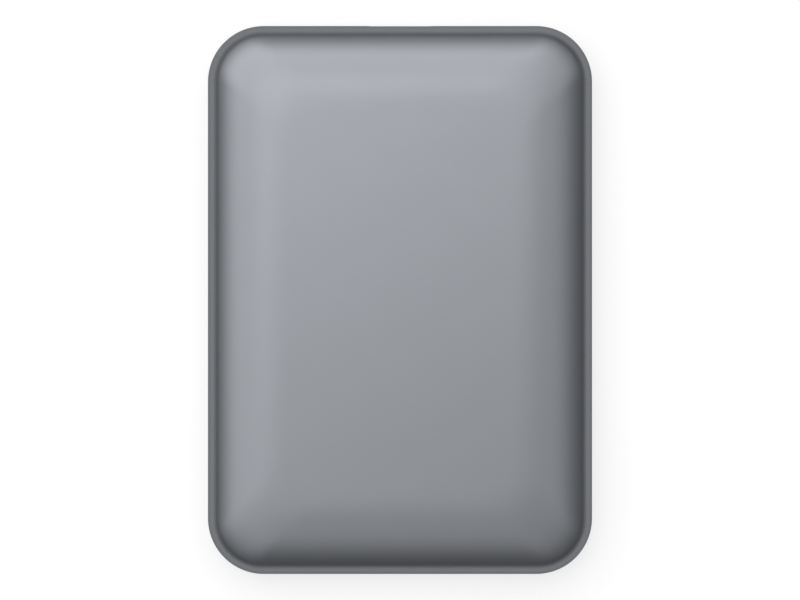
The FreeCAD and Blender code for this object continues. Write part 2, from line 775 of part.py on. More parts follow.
# Base casting of the drive: bowl for the disk, chamber for the actuator, recess for the board.
def cavity_outline(body, name, height):
    """The round bowl and the actuator's chamber behind it as one outline."""
    sketch = new_sketch(body, name, height)
    round_by = number("bowl_radius")
    start = math.acos(number("-chamber_left") / round_by)
    end = math.acos(number("ramp_right") / round_by) + 2 * math.pi
    circle = Part.Circle(FreeCAD.Vector(0, 0, 0), FreeCAD.Vector(0, 0, 1), round_by)
    bowl = Part.ArcOfCircle(circle, start, end)
    sketch.addGeometry(bowl)
    corners = [bowl.EndPoint]
    for x, y in (("ramp_right", "ramp_zone"), ("chamber_right", "ramp_zone"),
                 ("chamber_right", "chamber_rear"), ("-chamber_left", "chamber_rear")):
        corners.append(FreeCAD.Vector(number(x), number(y), 0))
    corners.append(bowl.StartPoint)
    for index in range(5):
        sketch.addGeometry(Part.LineSegment(corners[index], corners[index + 1]))
    for index in range(6):
        join(sketch, "Coincident", index, (index + 1) % 6)
    for index in range(1, 6):
        sketch.addConstraint(Sketcher.Constraint("Vertical" if index % 2 else "Horizontal", index))
    sketch.addConstraint(Sketcher.Constraint("Coincident", 0, 3, -1, 1))
    dimension(sketch, "Radius", (0,), "bowl_radius")
    dimension(sketch, "DistanceX", (1, 2), "ramp_right")
    dimension(sketch, "DistanceY", (2, 1), "ramp_zone")
    dimension(sketch, "DistanceX", (3, 1), "chamber_right")
    dimension(sketch, "DistanceY", (4, 1), "chamber_rear")
    dimension(sketch, "DistanceX", (5, 1), "-chamber_left")
    return sketch


def drive_rectangle(body, name, height, left, right, front, rear):
    sketch = new_sketch(body, name, height)
    draw_polygon(sketch, [(left, front), (right, front), (right, rear), (left, rear)])
    return sketch


base = new_body("drive_base", y="spindle_y")
pad(base, drive_outline(base, "base_outline", "drive_low", "0"), "rim_top - drive_low")
pocket(base, cavity_outline(base, "bowl", "rim_top"), "bowl_depth")
board_side = "(drive_half - board_inset + board_fit)"
recess = drive_rectangle(base, "board_recess", "floor_low", "-" + board_side, board_side,
                         "board_front - board_fit", "drive_rear + wall")
pocket(base, recess, "floor_low - drive_low")
notch_side = "(plug_width / 2 + plug_side_gap)"
notch_top = "(sata_z + receptacle_height / 2 + board_fit)"
notch = drive_rectangle(base, "plug_notch", notch_top,
                        "sata_offset - " + notch_side, "sata_offset + " + notch_side,
                        "drive_rear - notch_depth", "drive_rear + wall")
pocket(base, notch, notch_top + " - floor_low")
well = new_sketch(base, "motor_well", "floor_top")
draw_circle(well, "0", "0", "well_radius")
pocket(base, well, "well_depth")
boss_foot = new_sketch(base, "boss_foot", "well_low")
draw_circle(boss_foot, "0", "0", "boss_radius + boss_step")
pad(base, boss_foot, "stator_lift")
boss = new_sketch(base, "boss", "well_low")
draw_circle(boss, "0", "0", "boss_radius")
pad(base, boss, "stator_lift + stator_height + fit_gap")
board_rest = drive_rectangle(base, "board_rest", "board_top", "-" + board_side, board_side,
                             "board_front - board_fit", "board_front + rear_wall")
pad(base, board_rest, "board_air")
sleeve_seat = new_sketch(base, "sleeve_seat", "rim_top")
draw_circle(sleeve_seat, "0", "0", "sleeve_radius")
pocket(base, sleeve_seat, "rim_top - drive_low")

gasket = new_body("cover_gasket", y="spindle_y")
pad(gasket, drive_outline(gasket, "gasket_outside", "rim_top", "gasket_inset"), "gasket_height")
gasket_inside = drive_outline(gasket, "gasket_inside", "lid_low", "gasket_inset + gasket_width")
pocket(gasket, gasket_inside, "gasket_height")

lid = new_body("drive_cover", y="spindle_y")
pad(lid, drive_outline(lid, "lid_outline", "lid_low", "0"), "lid_thickness - lid_emboss")
lid_raised = drive_outline(lid, "lid_raised", "drive_top - lid_emboss", "lid_border", "drive_corner")
pad(lid, lid_raised, "lid_emboss")

# Spindle motor and disk.
spindle = ("0", "spindle_y")
sleeve_low = "(drive_low + bearing_gap)"
sleeve_height = "hub_top - hub_web - sleeve_top_gap - " + sleeve_low
sleeve_blank = disc("sleeve_blank", spindle + (sleeve_low,), "sleeve_radius", sleeve_height)
bore_foot = spindle + ("drive_low + sleeve_floor",)
sleeve_bore = disc("sleeve_bore", bore_foot, "shaft_radius + bearing_gap", sleeve_height)
spindle_sleeve = cut("spindle_sleeve", sleeve_blank, sleeve_bore)

hub = new_body("spindle_hub", y="spindle_y")
shaft_low = "drive_low + 2 * sleeve_floor"
revolve(hub, "hub_profile", [
    ("0", shaft_low),
    ("shaft_radius", shaft_low),
    ("shaft_radius", "hub_top - hub_web"),
    ("skirt_radius", "hub_top - hub_web"),
    ("skirt_radius", "skirt_low"),
    ("flange_radius", "skirt_low"),
    ("flange_radius", "platter_low"),
    ("hub_fit", "platter_low"),
    ("hub_fit", "hub_top"),
    ("0", "hub_top"),
])
rotor_magnet = tube("rotor_magnet", spindle + ("skirt_low",),
                    "skirt_radius", "skirt_radius - rotor_thickness", "rotor_height")
platter = tube("platter", spindle + ("platter_low",),
               "platter_radius", "platter_bore / 2", "platter_thickness")
clamp = disc("disk_clamp", spindle + ("platter_top",), "flange_radius", "clamp_thickness")

TEETH = 9


def round_spindle(item, turn):
    """Turn a piece that was placed along X from the spindle's axis."""
    item.Placement.Rotation = FreeCAD.Rotation(FreeCAD.Vector(0, 0, 1), turn)
    return item


def tooth(name, turn, width, height, low, start, end):
    """A bar pointing out from the spindle's axis, turned about it."""
    body = new_body(name, y="spindle_y")
    sketch = new_sketch(body, name + "_outline", low)
    half = "(%s) / 2" % width
    draw_polygon(sketch, [(start, "-" + half), (end, "-" + half), (end, half), (start, half)])
    pad(body, sketch, height)
    return round_spindle(body, turn)


stator_parts = [disc("stator_ring", spindle + ("stator_low",), "stator_ring_radius", "stator_height")]
windings = []
for index in range(TEETH):
    turn = 360 * index / TEETH
    core = tooth("stator_tooth_%d" % (index + 1), turn, "tooth_width", "stator_height", "stator_low",
                 "boss_radius", "stator_radius")
    stator_parts.append(core)
    wound = tooth("winding_blank_%d" % (index + 1), turn, "tooth_width + 2 * winding_thickness",
                  "stator_height + 2 * winding_thickness", "stator_low - winding_thickness",
                  "stator_ring_radius + winding_thickness", "stator_radius - winding_thickness")
    windings.append(cut("winding_%d" % (index + 1), wound, core))
stator_bore = disc("stator_bore", spindle + ("stator_low",), "boss_radius", "stator_height")
motor_stator = cut("motor_stator", fuse("stator_blank", stator_parts), stator_bore)
stator_windings = bundle("stator_windings", windings)

# Actuator: everything here is drawn with the pivot at its origin and the arm along X, then
# turned to the parked position on the load ramp.
pivot = ("pivot_offset", "pivot_y")


def actuator_body(name):
    return new_body(name, "pivot_offset", "pivot_y", "park_angle")


def plate(body, name, low, height, corners):
    sketch = new_sketch(body, name, low)
    draw_polygon(sketch, corners)
    pad(body, sketch, height)


def mirrored(corners):
    """Corners of a plate that is even about the arm's own line, from those on its left."""
    return corners + [(x, "-(%s)" % y) for x, y in reversed(corners)]


pivot_post = disc("pivot_post", pivot + ("floor_top",), "pivot_radius", "upper_arm_top - floor_top")
bearing_low = "(lower_arm_low + fit_gap)"
bearing_bushing = tube("pivot_bearing", pivot + (bearing_low,),
                       "bearing_radius", "bearing_bore", "upper_arm_top - " + bearing_low)

arm = actuator_body("actuator_arm")
arm_hub = new_sketch(arm, "arm_hub", "lower_arm_low")
draw_circle(arm_hub, "0", "0", "arm_hub_radius")
pad(arm, arm_hub, "upper_arm_top - lower_arm_low")
arm_corners = mirrored([("0", "arm_root_half"), ("arm_length", "arm_tip_half")])
plate(arm, "lower_arm", "lower_arm_low", "arm_thickness", arm_corners)
plate(arm, "upper_arm", "upper_arm_low", "arm_thickness", arm_corners)
fork_corners = mirrored([
    ("0", "coil_inner_half"),
    ("-coil_inner_radius", "coil_inner_half + tine_width"),
    ("-coil_outer_radius", "tine_half"),
])
coil_corners = mirrored([
    ("-coil_inner_radius", "coil_inner_half"),
    ("-coil_outer_radius", "coil_outer_half"),
])
plate(arm, "coil_fork", "coil_low", "coil_thickness", fork_corners)
fork_window = new_sketch(arm, "fork_window", "coil_top")
draw_polygon(fork_window, coil_corners)
pocket(arm, fork_window, "coil_thickness")
bearing_seat = new_sketch(arm, "bearing_seat", "upper_arm_top")
draw_circle(bearing_seat, "0", "0", "bearing_radius")
pocket(arm, bearing_seat, "upper_arm_top - lower_arm_low")

coil = actuator_body("voice_coil")
plate(coil, "coil_outside", "coil_low", "coil_thickness", coil_corners)
coil_window = new_sketch(coil, "coil_window", "coil_top")
draw_polygon(coil_window, mirrored([
    ("-(coil_inner_radius + coil_band)", "coil_inner_half - coil_band / 2"),
    ("-(coil_outer_radius - coil_band)", "coil_outer_half - coil_band"),
]))
pocket(coil, coil_window, "coil_thickness")

suspension_corners = mirrored([
    ("arm_length - suspension_overlap", "arm_tip_half"),
    ("arm_length", "arm_tip_half"),
    ("arm_reach + slider_length / 2", "slider_half + tab_half"),
    ("arm_reach + slider_length / 2", "tab_half"),
    ("arm_reach + tab_length", "tab_half"),
])
slider_corners = mirrored([
    ("arm_reach - slider_length / 2", "slider_half"),
    ("arm_reach + slider_length / 2", "slider_half"),
])
suspension_upper = actuator_body("suspension_upper")
plate(suspension_upper, "upper_beam", "upper_suspension_low", "suspension_thickness", suspension_corners)
suspension_lower = actuator_body("suspension_lower")
plate(suspension_lower, "lower_beam", "lower_arm_top", "suspension_thickness", suspension_corners)
head_upper = actuator_body("head_upper")
plate(head_upper, "upper_slider", "upper_suspension_low - slider_height", "slider_height", slider_corners)
head_lower = actuator_body("head_lower")
plate(head_lower, "lower_slider", "lower_suspension_top", "slider_height", slider_corners)


def ring_sector(name, low, height, outer, inner, start, end):
    """A curved plate about the pivot, between two radii and two angles in degrees."""
    whole = sector(name + "_whole", pivot + (low,), outer, height, start, "%s - (%s)" % (end, start))
    return cut(name, whole, disc(name + "_middle", pivot + (low,), inner, height))


yoke_start = "post_angle_low - yoke_overlap"
yoke_end = "post_angle_high + yoke_overlap"
lower_yoke = ring_sector("lower_yoke_plate", "floor_top", "yoke_thickness",
                         "yoke_outer_radius", "yoke_inner_radius", yoke_start, yoke_end)
yoke_upper = ring_sector("yoke_upper", "upper_yoke_low", "yoke_thickness",
                         "yoke_outer_radius", "yoke_inner_radius", yoke_start, yoke_end)
yoke_posts = []
for name, angle in (("inner", "post_angle_low"), ("outer", "post_angle_high")):
    x = "pivot_offset + post_circle * cos(%s)" % angle
    y = "pivot_y + post_circle * sin(%s)" % angle
    foot = (x, y, "floor_top")
    yoke_posts.append(disc("yoke_post_" + name, foot, "post_radius", "upper_yoke_low - floor_top"))
yoke_lower = fuse("yoke_lower", [lower_yoke] + yoke_posts)
magnet_start = "post_angle_low + stop_angle + magnet_margin"
magnet_end = "post_angle_high - stop_angle - magnet_margin"
magnet_lower = ring_sector("magnet_lower", "lower_magnet_low", "magnet_thickness", "magnet_outer_radius",
                           "magnet_inner_radius", magnet_start, magnet_end)
magnet_upper = ring_sector("magnet_upper", "upper_magnet_low", "magnet_thickness", "magnet_outer_radius",
                           "magnet_inner_radius", magnet_start, magnet_end)

# Fixed pieces round the actuator: ramp for the parked heads, flex bracket, filter and drying pouch.
ramp_side = "(ramp_right - ramp_clearance)"
ramp_left = "(parked_head + ramp_slider_gap)"
ramp_front = "sqrt((platter_radius + ramp_rim_gap) ^ 2 - %s ^ 2)" % ramp_left
ramp_foot_front = "(parked_tip + ramp_foot_gap)"
tab_gap = "head_gap / 2"
load_ramp = fuse("load_ramp", [
    block("ramp_bar",
          (ramp_left, "spindle_y + " + ramp_front, "lower_suspension_top + " + tab_gap),
          (ramp_side + " - " + ramp_left, "%s + ramp_foot_length / 2 - %s" % (ramp_foot_front, ramp_front),
           "upper_suspension_low - lower_suspension_top - head_gap")),
    block("ramp_foot",
          (ramp_side + " - ramp_foot_width", "spindle_y + " + ramp_foot_front, "floor_top"),
          ("ramp_foot_width", "ramp_foot_length", "upper_suspension_low - floor_top - " + tab_gap)),
])
chamber_side = "(board_fit - chamber_left)"
flex_bracket = block(
    "flex_bracket",
    (chamber_side, "spindle_y + platter_radius + flex_rim_gap", "floor_top"),
    ("flex_width", "flex_length", "flex_height"),
)
air_filter = block(
    "air_filter",
    (chamber_side, "spindle_y + platter_radius - filter_length", "floor_top"),
    ("filter_width", "filter_length", "filter_height"),
)
drying_pouch = block(
    "drying_pouch",
    (chamber_side, "spindle_y + chamber_rear - board_fit - pouch_length", "floor_top"),
    ("pouch_width", "pouch_length", "pouch_height"),
)
ribbon_start = "(%s + flex_width)" % chamber_side
flex_ribbon = block(
    "flex_ribbon",
    (ribbon_start, "pivot_y - ribbon_drop", "floor_top + ribbon_clearance"),
    ("pivot_offset - arm_hub_radius - ribbon_clearance - " + ribbon_start, "ribbon_thickness",
     "ribbon_height"),
)

# The drive's circuit board, its chips and its plug.
drive_board = block(
    "drive_board",
    ("board_inset - drive_half", "spindle_y + board_front", "board_low"),
    ("2 * (drive_half - board_inset)", "drive_rear - board_back - board_front", "board_thickness"),
)
chip_low = "board_low - chip_height"
board_edge = "spindle_y + board_front"
controller_chip = block(
    "controller_chip",
    ("-controller_side / 2", board_edge + " + controller_place", chip_low),
    ("controller_side", "controller_side", "chip_height"),
)
driver_chip = block(
    "motor_driver_chip",
    ("controller_side", board_edge + " + driver_place", chip_low),
    ("driver_side", "driver_side", "chip_height"),
)
cache_chip = block(
    "cache_chip",
    ("-controller_side - cache_width", board_edge + " + controller_place", chip_low),
    ("cache_width", "cache_length", "chip_height"),
)


def plug_tongues(name, grow):
    """Both L-shaped contact tongues, made larger by grow for the slots they slide into."""
    pieces = []
    left = "sata_offset - (signal_tongue + tongue_spacing + power_tongue) / 2"
    spans = (("signal", left, "signal_tongue"),
             ("power", "%s + signal_tongue + tongue_spacing" % left, "power_tongue"))
    y = "receptacle_front - fit_gap"
    length = "tongue_length + %s" % grow
    for kind, start, width in spans:
        low = ("%s - %s" % (start, grow), y, "sata_z - tongue_thickness / 2 - %s" % grow)
        thick = "tongue_thickness + 2 * %s" % grow
        bar_size = ("%s + 2 * %s" % (width, grow), length, thick)
        leg_size = (thick, length, "key_height + 2 * %s" % grow)
        pieces.append(block("%s_%s_bar" % (name, kind), low, bar_size))
        pieces.append(block("%s_%s_leg" % (name, kind), low, leg_size))
    return pieces


plug_front = "(drive_rear_y - notch_depth + plug_side_gap)"
plug_body = block("plug_body", ("sata_offset - plug_width / 2", plug_front, "board_top"),
                  ("plug_width", "plug_depth", "drive_low + plug_rise - board_top"))
sata_plug = fuse("sata_plug", [plug_body] + plug_tongues("plug_tongue", "0"))

# Bridge board with its receptacle, parts and socket.
receptacle_blank = block(
    "receptacle_blank",
    ("sata_offset - receptacle_width / 2", "receptacle_front", "bridge_top"),
    ("receptacle_width", "receptacle_rear - receptacle_front", "receptacle_height"),
)
receptacle_slots = bundle("receptacle_slots", plug_tongues("receptacle_slot", "fit_gap"))
sata_receptacle = cut("sata_receptacle", receptacle_blank, receptacle_slots)
bridge_board = block(
    "bridge_board",
    ("-bridge_left", "bridge_front", "bridge_low"),
    ("bridge_left + bridge_right", "bridge_rear - bridge_front", "bridge_thickness"),
)
chip_x = "light_offset - led_width / 2 - bridge_chip_side - 2 * bridge_gap"
bridge_chip = block(
    "bridge_chip",
    (chip_x, "bridge_rear - bridge_gap - bridge_chip_side", "bridge_top"),
    ("bridge_chip_side", "bridge_chip_side", "bridge_chip_height"),
)
clock_crystal = block(
    "clock_crystal",
    ("light_offset - crystal_width / 2", "bridge_front + bridge_gap", "bridge_top"),
    ("crystal_width", "crystal_length", "crystal_height"),
)
inductor_x = "usb_offset - usb_width / 2 - 2 * inductor_side"
power_inductor = block(
    "power_inductor",
    (inductor_x, "bridge_rear - inductor_side - bridge_gap", "bridge_top"),
    ("inductor_side", "inductor_side", "inductor_height"),
)
capacitors = []
for index in range(4):
    low_x = "bridge_gap - bridge_left + %d * capacitor_pitch" % index
    low = (low_x, "bridge_rear - capacitor_length - bridge_gap", "bridge_top")
    size = ("capacitor_width", "capacitor_length", "capacitor_height")
    capacitors.append(block("capacitor_%d" % (index + 1), low, size))
bridge_capacitors = bundle("bridge_capacitors", capacitors)

usb_blank = end_prism("usb_blank", "usb_offset - usb_width / 2", "usb_offset + usb_width / 2", "bridge_top",
                      "bridge_top + usb_height", "usb_corner", "usb_mouth", "usb_depth")
bay_top = "usb_z + bay_half"
bay_low = "usb_z - bay_half"
bay_shoulder = "usb_z - bay_half + bay_chamfer"
neck_top = "usb_z + neck_height / 2"
neck_low = "usb_z - neck_height / 2"
bay_corners = [
    ("bay_left", bay_top), ("main_right", bay_top), ("main_right", neck_top),
    ("side_left", neck_top), ("side_left", bay_top), ("side_right", bay_top),
    ("side_right", bay_shoulder), ("side_right - bay_chamfer", bay_low),
    ("side_left + bay_chamfer", bay_low), ("side_left", bay_shoulder), ("side_left", neck_low),
    ("main_right", neck_low), ("main_right", bay_shoulder), ("main_right - bay_chamfer", bay_low),
    ("bay_left + bay_chamfer", bay_low), ("bay_left", bay_shoulder),
]


def bay_prism(name, start, length):
    """The socket's two joined bays as a solid, from a plane at start towards the middle."""
    body = new_body(name)
    sketch = new_sketch(body, name + "_outline", "-(%s)" % start, "XZ_Plane")
    draw_polygon(sketch, bay_corners)
    pad(body, sketch, length)
    return body


usb_bays = bay_prism("usb_bays", "usb_mouth + wall", "usb_depth + 2 * wall")
usb_socket_shell = cut("usb_socket_shell", usb_blank, usb_bays)
tongue_y = "(usb_back + bay_floor)"
main_middle = "(bay_left + main_bay / 2)"
side_middle = "(side_left + side_bay / 2)"
tongue_parts = [bay_prism("usb_rear_wall", tongue_y, "bay_floor")]
contacts = []
for kind, middle, width, pitch in (("main", main_middle, "main_tongue", "contact_pitch"),
                                   ("side", side_middle, "side_tongue", "side_contact_pitch")):
    low = ("%s - %s / 2" % (middle, width), tongue_y + " - bay_floor / 2", "tongue_low")
    size = (width, "usb_tongue_length + bay_floor / 2", "usb_tongue_thickness")
    tongue_parts.append(block("usb_tongue_" + kind, low, size))
    for index in range(5):
        low_x = "%s + %d * %s - contact_width / 2" % (middle, index - 2, pitch)
        low = (low_x, tongue_y, "tongue_low - contact_thickness")
        size = ("contact_width", "contact_length", "contact_thickness")
        contacts.append(block("%s_contact_%d" % (kind, index + 1), low, size))
usb_socket_tongue = fuse("usb_socket_tongue", tongue_parts)
usb_contacts = bundle("usb_contacts", contacts)

led_y = "(bridge_rear - bridge_gap - led_length)"
activity_led = block(
    "activity_led",
    ("light_offset - led_width / 2", led_y, "bridge_top"),
    ("led_width", "led_length", "led_height"),
)
pipe_y = "(%s + led_length + fit_gap / 2)" % led_y
flange_y = "(end_half - wall - light_flange_length)"
light_left = "light_offset - light_width / 2"
light_low = "%s - light_height / 2" % light_z
light_pipe = fuse("light_pipe", [
    block("light_stem", (light_left, pipe_y, light_low),
          ("light_width", "end_half - " + pipe_y, "light_height")),
    block("light_flange_plate", (light_left + " - light_flange", flange_y, light_low + " - light_flange"),
          ("light_width + 2 * light_flange", "light_flange_length", "light_height + 2 * light_flange")),
])

NODES = [
    top_cover, bottom_cover, light_pipe, *bumpers, *foam_pads,
    bridge_board, usb_socket_shell, usb_socket_tongue, usb_contacts, sata_receptacle, bridge_chip,
    clock_crystal, power_inductor, bridge_capacitors, activity_led,
    base, lid, gasket,
    spindle_sleeve, hub, rotor_magnet, motor_stator, stator_windings,
    platter, clamp,
    pivot_post, bearing_bushing, arm, coil, suspension_upper, suspension_lower, head_upper, head_lower,
    yoke_lower, yoke_upper, magnet_lower, magnet_upper,
    load_ramp, flex_bracket, flex_ribbon, air_filter, drying_pouch,
    drive_board, controller_chip, driver_chip, cache_chip, sata_plug,
]
doc.recompute()

for item in doc.Objects:
    if "Invalid" in item.State or "Error" in item.State:
        raise RuntimeError("%s did not build: %s" % (item.Label, item.State))
os.makedirs("parts", exist_ok=True)
for item in NODES:
    if item.Shape.isNull() or not item.Shape.isValid() or not item.Shape.Solids:
        raise RuntimeError("%s has no valid solid" % item.Label)
    item.Shape.exportStep("parts/%s.step" % item.Label)
    print(item.Label, len(item.Shape.Solids), round(item.Shape.Volume, 2))
print(len(NODES), "pieces")
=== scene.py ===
# %% [markdown]
# # A pocket external hard drive
# The object is a flat case with a pillow-shaped upper half, photographed from straight above.
# Every separate piece, the disk and its arm inside included, already exists as a CAD solid. This
# lesson loads those solids as a fixed frame, builds the two moulded covers again with a finer
# surface, gives every piece a procedural finish, adds the small screws, and sets up the light and
# the camera.

# %% Load the CAD frame
import json
import math

import bmesh
import bpy
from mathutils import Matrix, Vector

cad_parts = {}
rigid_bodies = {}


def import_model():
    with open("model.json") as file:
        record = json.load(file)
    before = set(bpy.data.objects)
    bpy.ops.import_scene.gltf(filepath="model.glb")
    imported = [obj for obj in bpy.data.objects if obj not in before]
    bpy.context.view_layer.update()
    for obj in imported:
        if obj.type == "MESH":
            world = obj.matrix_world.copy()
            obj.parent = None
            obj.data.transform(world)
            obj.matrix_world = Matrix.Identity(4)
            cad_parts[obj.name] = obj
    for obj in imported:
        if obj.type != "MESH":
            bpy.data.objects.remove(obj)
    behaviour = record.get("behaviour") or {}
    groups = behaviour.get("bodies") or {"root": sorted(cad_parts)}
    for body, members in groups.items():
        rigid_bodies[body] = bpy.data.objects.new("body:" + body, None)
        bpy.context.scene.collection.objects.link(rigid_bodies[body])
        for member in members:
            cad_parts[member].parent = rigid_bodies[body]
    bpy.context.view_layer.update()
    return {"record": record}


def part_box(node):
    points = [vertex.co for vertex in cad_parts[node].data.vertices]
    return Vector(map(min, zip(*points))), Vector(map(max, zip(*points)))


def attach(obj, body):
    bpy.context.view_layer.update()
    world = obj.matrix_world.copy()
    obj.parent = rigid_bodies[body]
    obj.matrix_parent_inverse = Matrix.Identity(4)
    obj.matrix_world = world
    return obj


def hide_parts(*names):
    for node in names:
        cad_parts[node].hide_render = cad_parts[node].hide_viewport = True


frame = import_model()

MM = 0.001
scene = bpy.context.scene
scene.view_settings.view_transform = "Standard"

# %% [markdown]
# ## Sizes of the case
# A dressed piece has to lie exactly where its CAD solid lies, so the outer sizes are read from the
# boxes of the two cover nodes. Sizes that no box tells, such as the wall and the corner radius,
# repeat the CAD model's values, in millimetres. Values that only soften a form further, such as the
# crown's, are this lesson's own.

# %% Read the case's outer sizes
half_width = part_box("top_cover")[1].x / MM
half_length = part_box("top_cover")[1].y / MM
roof_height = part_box("top_cover")[1].z / MM
seam_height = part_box("top_cover")[0].z / MM
lip_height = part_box("bottom_cover")[1].z / MM
wall = 1.4
corner_radius = 11.65
print("case %.1f x %.1f x %.1f mm" % (2 * half_width, 2 * half_length, roof_height))

# %% [markdown]
# ## Profiles of the two covers
# A moulded cover is one wall section carried round a rounded rectangle. The section is a list of
# points, each an inset from the case's side and a height. It starts in the middle of the inner
# face, goes out to the rim and comes back to the middle of the outer face, so the swept surface is
# closed. The shoulder starts with a tight arc beside the upright side. From where that arc ends, a
# crown rises whose curve dies out slowly, so no line shows where it runs out into the flat roof.

# %% Draw the top cover's section
shoulder_reach = 13.5
shoulder_drop = 7.8
side_radius = 5.5
sweep_reach = 10.65
edge_round = 0.18
crown_power = 3.0
edge_steps = 4
shoulder_steps = 18
crown_steps = 40

shoulder_base = roof_height - shoulder_drop
roof_radius = (shoulder_reach ** 2 + shoulder_drop ** 2 - 2 * shoulder_reach * side_radius) / (
    2 * (shoulder_drop - side_radius))
roof_centre = roof_height - roof_radius
meet_angle = math.atan2(shoulder_base - roof_centre, shoulder_reach - side_radius)


def arc_points(inset, height, radius_in, radius_up, start, end, steps):
    """Points on an arc whose centre is at an inset and a height; angles start at the outside."""
    points = []
    for step in range(steps + 1):
        angle = start + (end - start) * step / steps
        points.append((inset - radius_in * math.cos(angle), height + radius_up * math.sin(angle)))
    return points


inner_radius = roof_radius - wall
inner_roof = roof_centre + math.sqrt(inner_radius ** 2 - (shoulder_reach - sweep_reach) ** 2)
inner_meet = (shoulder_reach - inner_radius * math.cos(meet_angle),
              roof_centre + inner_radius * math.sin(meet_angle))
top_section = [(half_width, inner_roof), (sweep_reach, inner_roof), inner_meet,
               (wall, shoulder_base), (wall, seam_height)]
top_section += arc_points(edge_round, seam_height + edge_round, edge_round, edge_round,
                          -math.pi / 2, 0, edge_steps)
top_section += arc_points(side_radius, shoulder_base, side_radius, side_radius,
                          0, meet_angle, shoulder_steps)
meet_inset, meet_height = top_section[-1]
crown_drop = roof_height - meet_height
crown_reach = crown_power * crown_drop * math.tan(meet_angle)
for crown_step in range(1, crown_steps + 1):
    share = crown_step / crown_steps
    crown_height = roof_height - crown_drop * (1 - share) ** crown_power
    top_section.append((meet_inset + crown_reach * share, crown_height))
top_section += [(half_width, roof_height)]
print("top cover section:", len(top_section), "points, roof radius %.2f mm" % roof_radius)

# %% Draw the bottom cover's section
foot_inset = 2.6
seam_gap = 0.3
seam_depth = 0.5
lip_outer = 1.5
lip_inner = 2.4
foot_steps = 20

brim = seam_height - seam_gap
foot_rise = brim - edge_round
bottom_section = [(half_width, wall), (lip_inner, wall), (lip_inner, lip_height), (lip_outer, lip_height),
                  (lip_outer, seam_height), (seam_depth, seam_height), (seam_depth, brim)]
bottom_section += arc_points(edge_round, foot_rise, edge_round, edge_round, math.pi / 2, 0, edge_steps)
bottom_section += arc_points(foot_inset, foot_rise, foot_inset, foot_rise, 0, -math.pi / 2, foot_steps)[1:]
bottom_section += [(half_width, 0)]
print("bottom cover section:", len(bottom_section), "points")

# %% [markdown]
# ## Arithmetic with nodes
# The sweep is made by Geometry Nodes, because its shape follows a rule: every ring of the cover is
# a rounded rectangle whose inset and corner radius follow from the section. Long chains of Math
# nodes are hard to read, so this small class lets a node's output be used like a number. Each sum
# or product adds one Math node to the tree.

# %% A field that behaves like a number


class Field:
    """A node's output that can be added to, multiplied and so on."""

    def __init__(self, tree, socket):
        self.tree = tree
        self.socket = socket

    def math(self, operation, *others):
        node = self.tree.nodes.new("ShaderNodeMath")
        node.operation = operation
        for slot, value in enumerate((self,) + others):
            if isinstance(value, Field):
                self.tree.links.new(value.socket, node.inputs[slot])
            else:
                node.inputs[slot].default_value = value
        return Field(self.tree, node.outputs[0])

    def __add__(self, other):
        return self.math("ADD", other)

    def __sub__(self, other):
        return self.math("SUBTRACT", other)

    def __mul__(self, other):
        return self.math("MULTIPLY", other)

    def __truediv__(self, other):
        return self.math("DIVIDE", other)


def add_node(tree, kind, **settings):
    node = tree.nodes.new(kind)
    for name, value in settings.items():
        setattr(node, name, value)
    return node


def connect(tree, *pairs):
    for output, target in pairs:
        tree.links.new(output, target)


def new_tree(name, inputs):
    """A Geometry Nodes tree with named inputs; returns it, its inputs as fields, and its end."""
    tree = bpy.data.node_groups.new(name, "GeometryNodeTree")
    tree.interface.new_socket("Geometry", in_out="OUTPUT", socket_type="NodeSocketGeometry")
    for label, kind in inputs.items():
        tree.interface.new_socket(label, in_out="INPUT", socket_type="NodeSocket" + kind)
    start = tree.nodes.new("NodeGroupInput")
    end = tree.nodes.new("NodeGroupOutput")
    return tree, {label: Field(tree, start.outputs[label]) for label in inputs}, end


def end_tree(tree, geometry, material, end):
    """The last two nodes of every tree: copies become real geometry and take the finish."""
    real = add_node(tree, "GeometryNodeRealizeInstances")
    paint = add_node(tree, "GeometryNodeSetMaterial")
    connect(tree, (geometry, real.inputs["Geometry"]), (real.outputs[0], paint.inputs["Geometry"]),
            (material.socket, paint.inputs["Material"]), (paint.outputs[0], end.inputs[0]))


print("node arithmetic ready")

# %% [markdown]
# ## The sweep
# The tree starts from a plain grid: one row of points for each point of the section, one column
# for each step round the case. Set Position then moves every point to its place. The columns go
# round four corner arcs and the four straight runs between them. Insetting a rounded rectangle
# makes its corners tighter, so each ring's corner radius is the outer one less the inset, held
# above a least value so that the corners of the roof stay soft.

# %% Build the shell tree
weld_distance = 0.001
shell_tree, given, shell_end = new_tree("moulded_shell", {
    "Section": "Object", "Rings": "Int", "Half width": "Float", "Half length": "Float",
    "Corner radius": "Float", "Least radius": "Float", "Softness": "Float",
    "Arc steps": "Int", "Side steps": "Int", "Material": "Material"})
run = given["Arc steps"] + given["Side steps"]
columns = run * 4 + 1
grid = add_node(shell_tree, "GeometryNodeMeshGrid")
connect(shell_tree, (given["Rings"].socket, grid.inputs["Vertices X"]),
        (columns.socket, grid.inputs["Vertices Y"]))

index = Field(shell_tree, add_node(shell_tree, "GeometryNodeInputIndex").outputs[0])
ring = (index / columns).math("FLOOR")
column = index - ring * columns
section_info = add_node(shell_tree, "GeometryNodeObjectInfo")
sample = add_node(shell_tree, "GeometryNodeSampleIndex", data_type="FLOAT_VECTOR", domain="POINT")
position = add_node(shell_tree, "GeometryNodeInputPosition")
section_axes = add_node(shell_tree, "ShaderNodeSeparateXYZ")
connect(shell_tree, (given["Section"].socket, section_info.inputs["Object"]),
        (section_info.outputs["Geometry"], sample.inputs["Geometry"]),
        (position.outputs[0], sample.inputs["Value"]), (ring.socket, sample.inputs["Index"]),
        (sample.outputs[0], section_axes.inputs[0]))
inset = Field(shell_tree, section_axes.outputs["X"])
height = Field(shell_tree, section_axes.outputs["Z"])

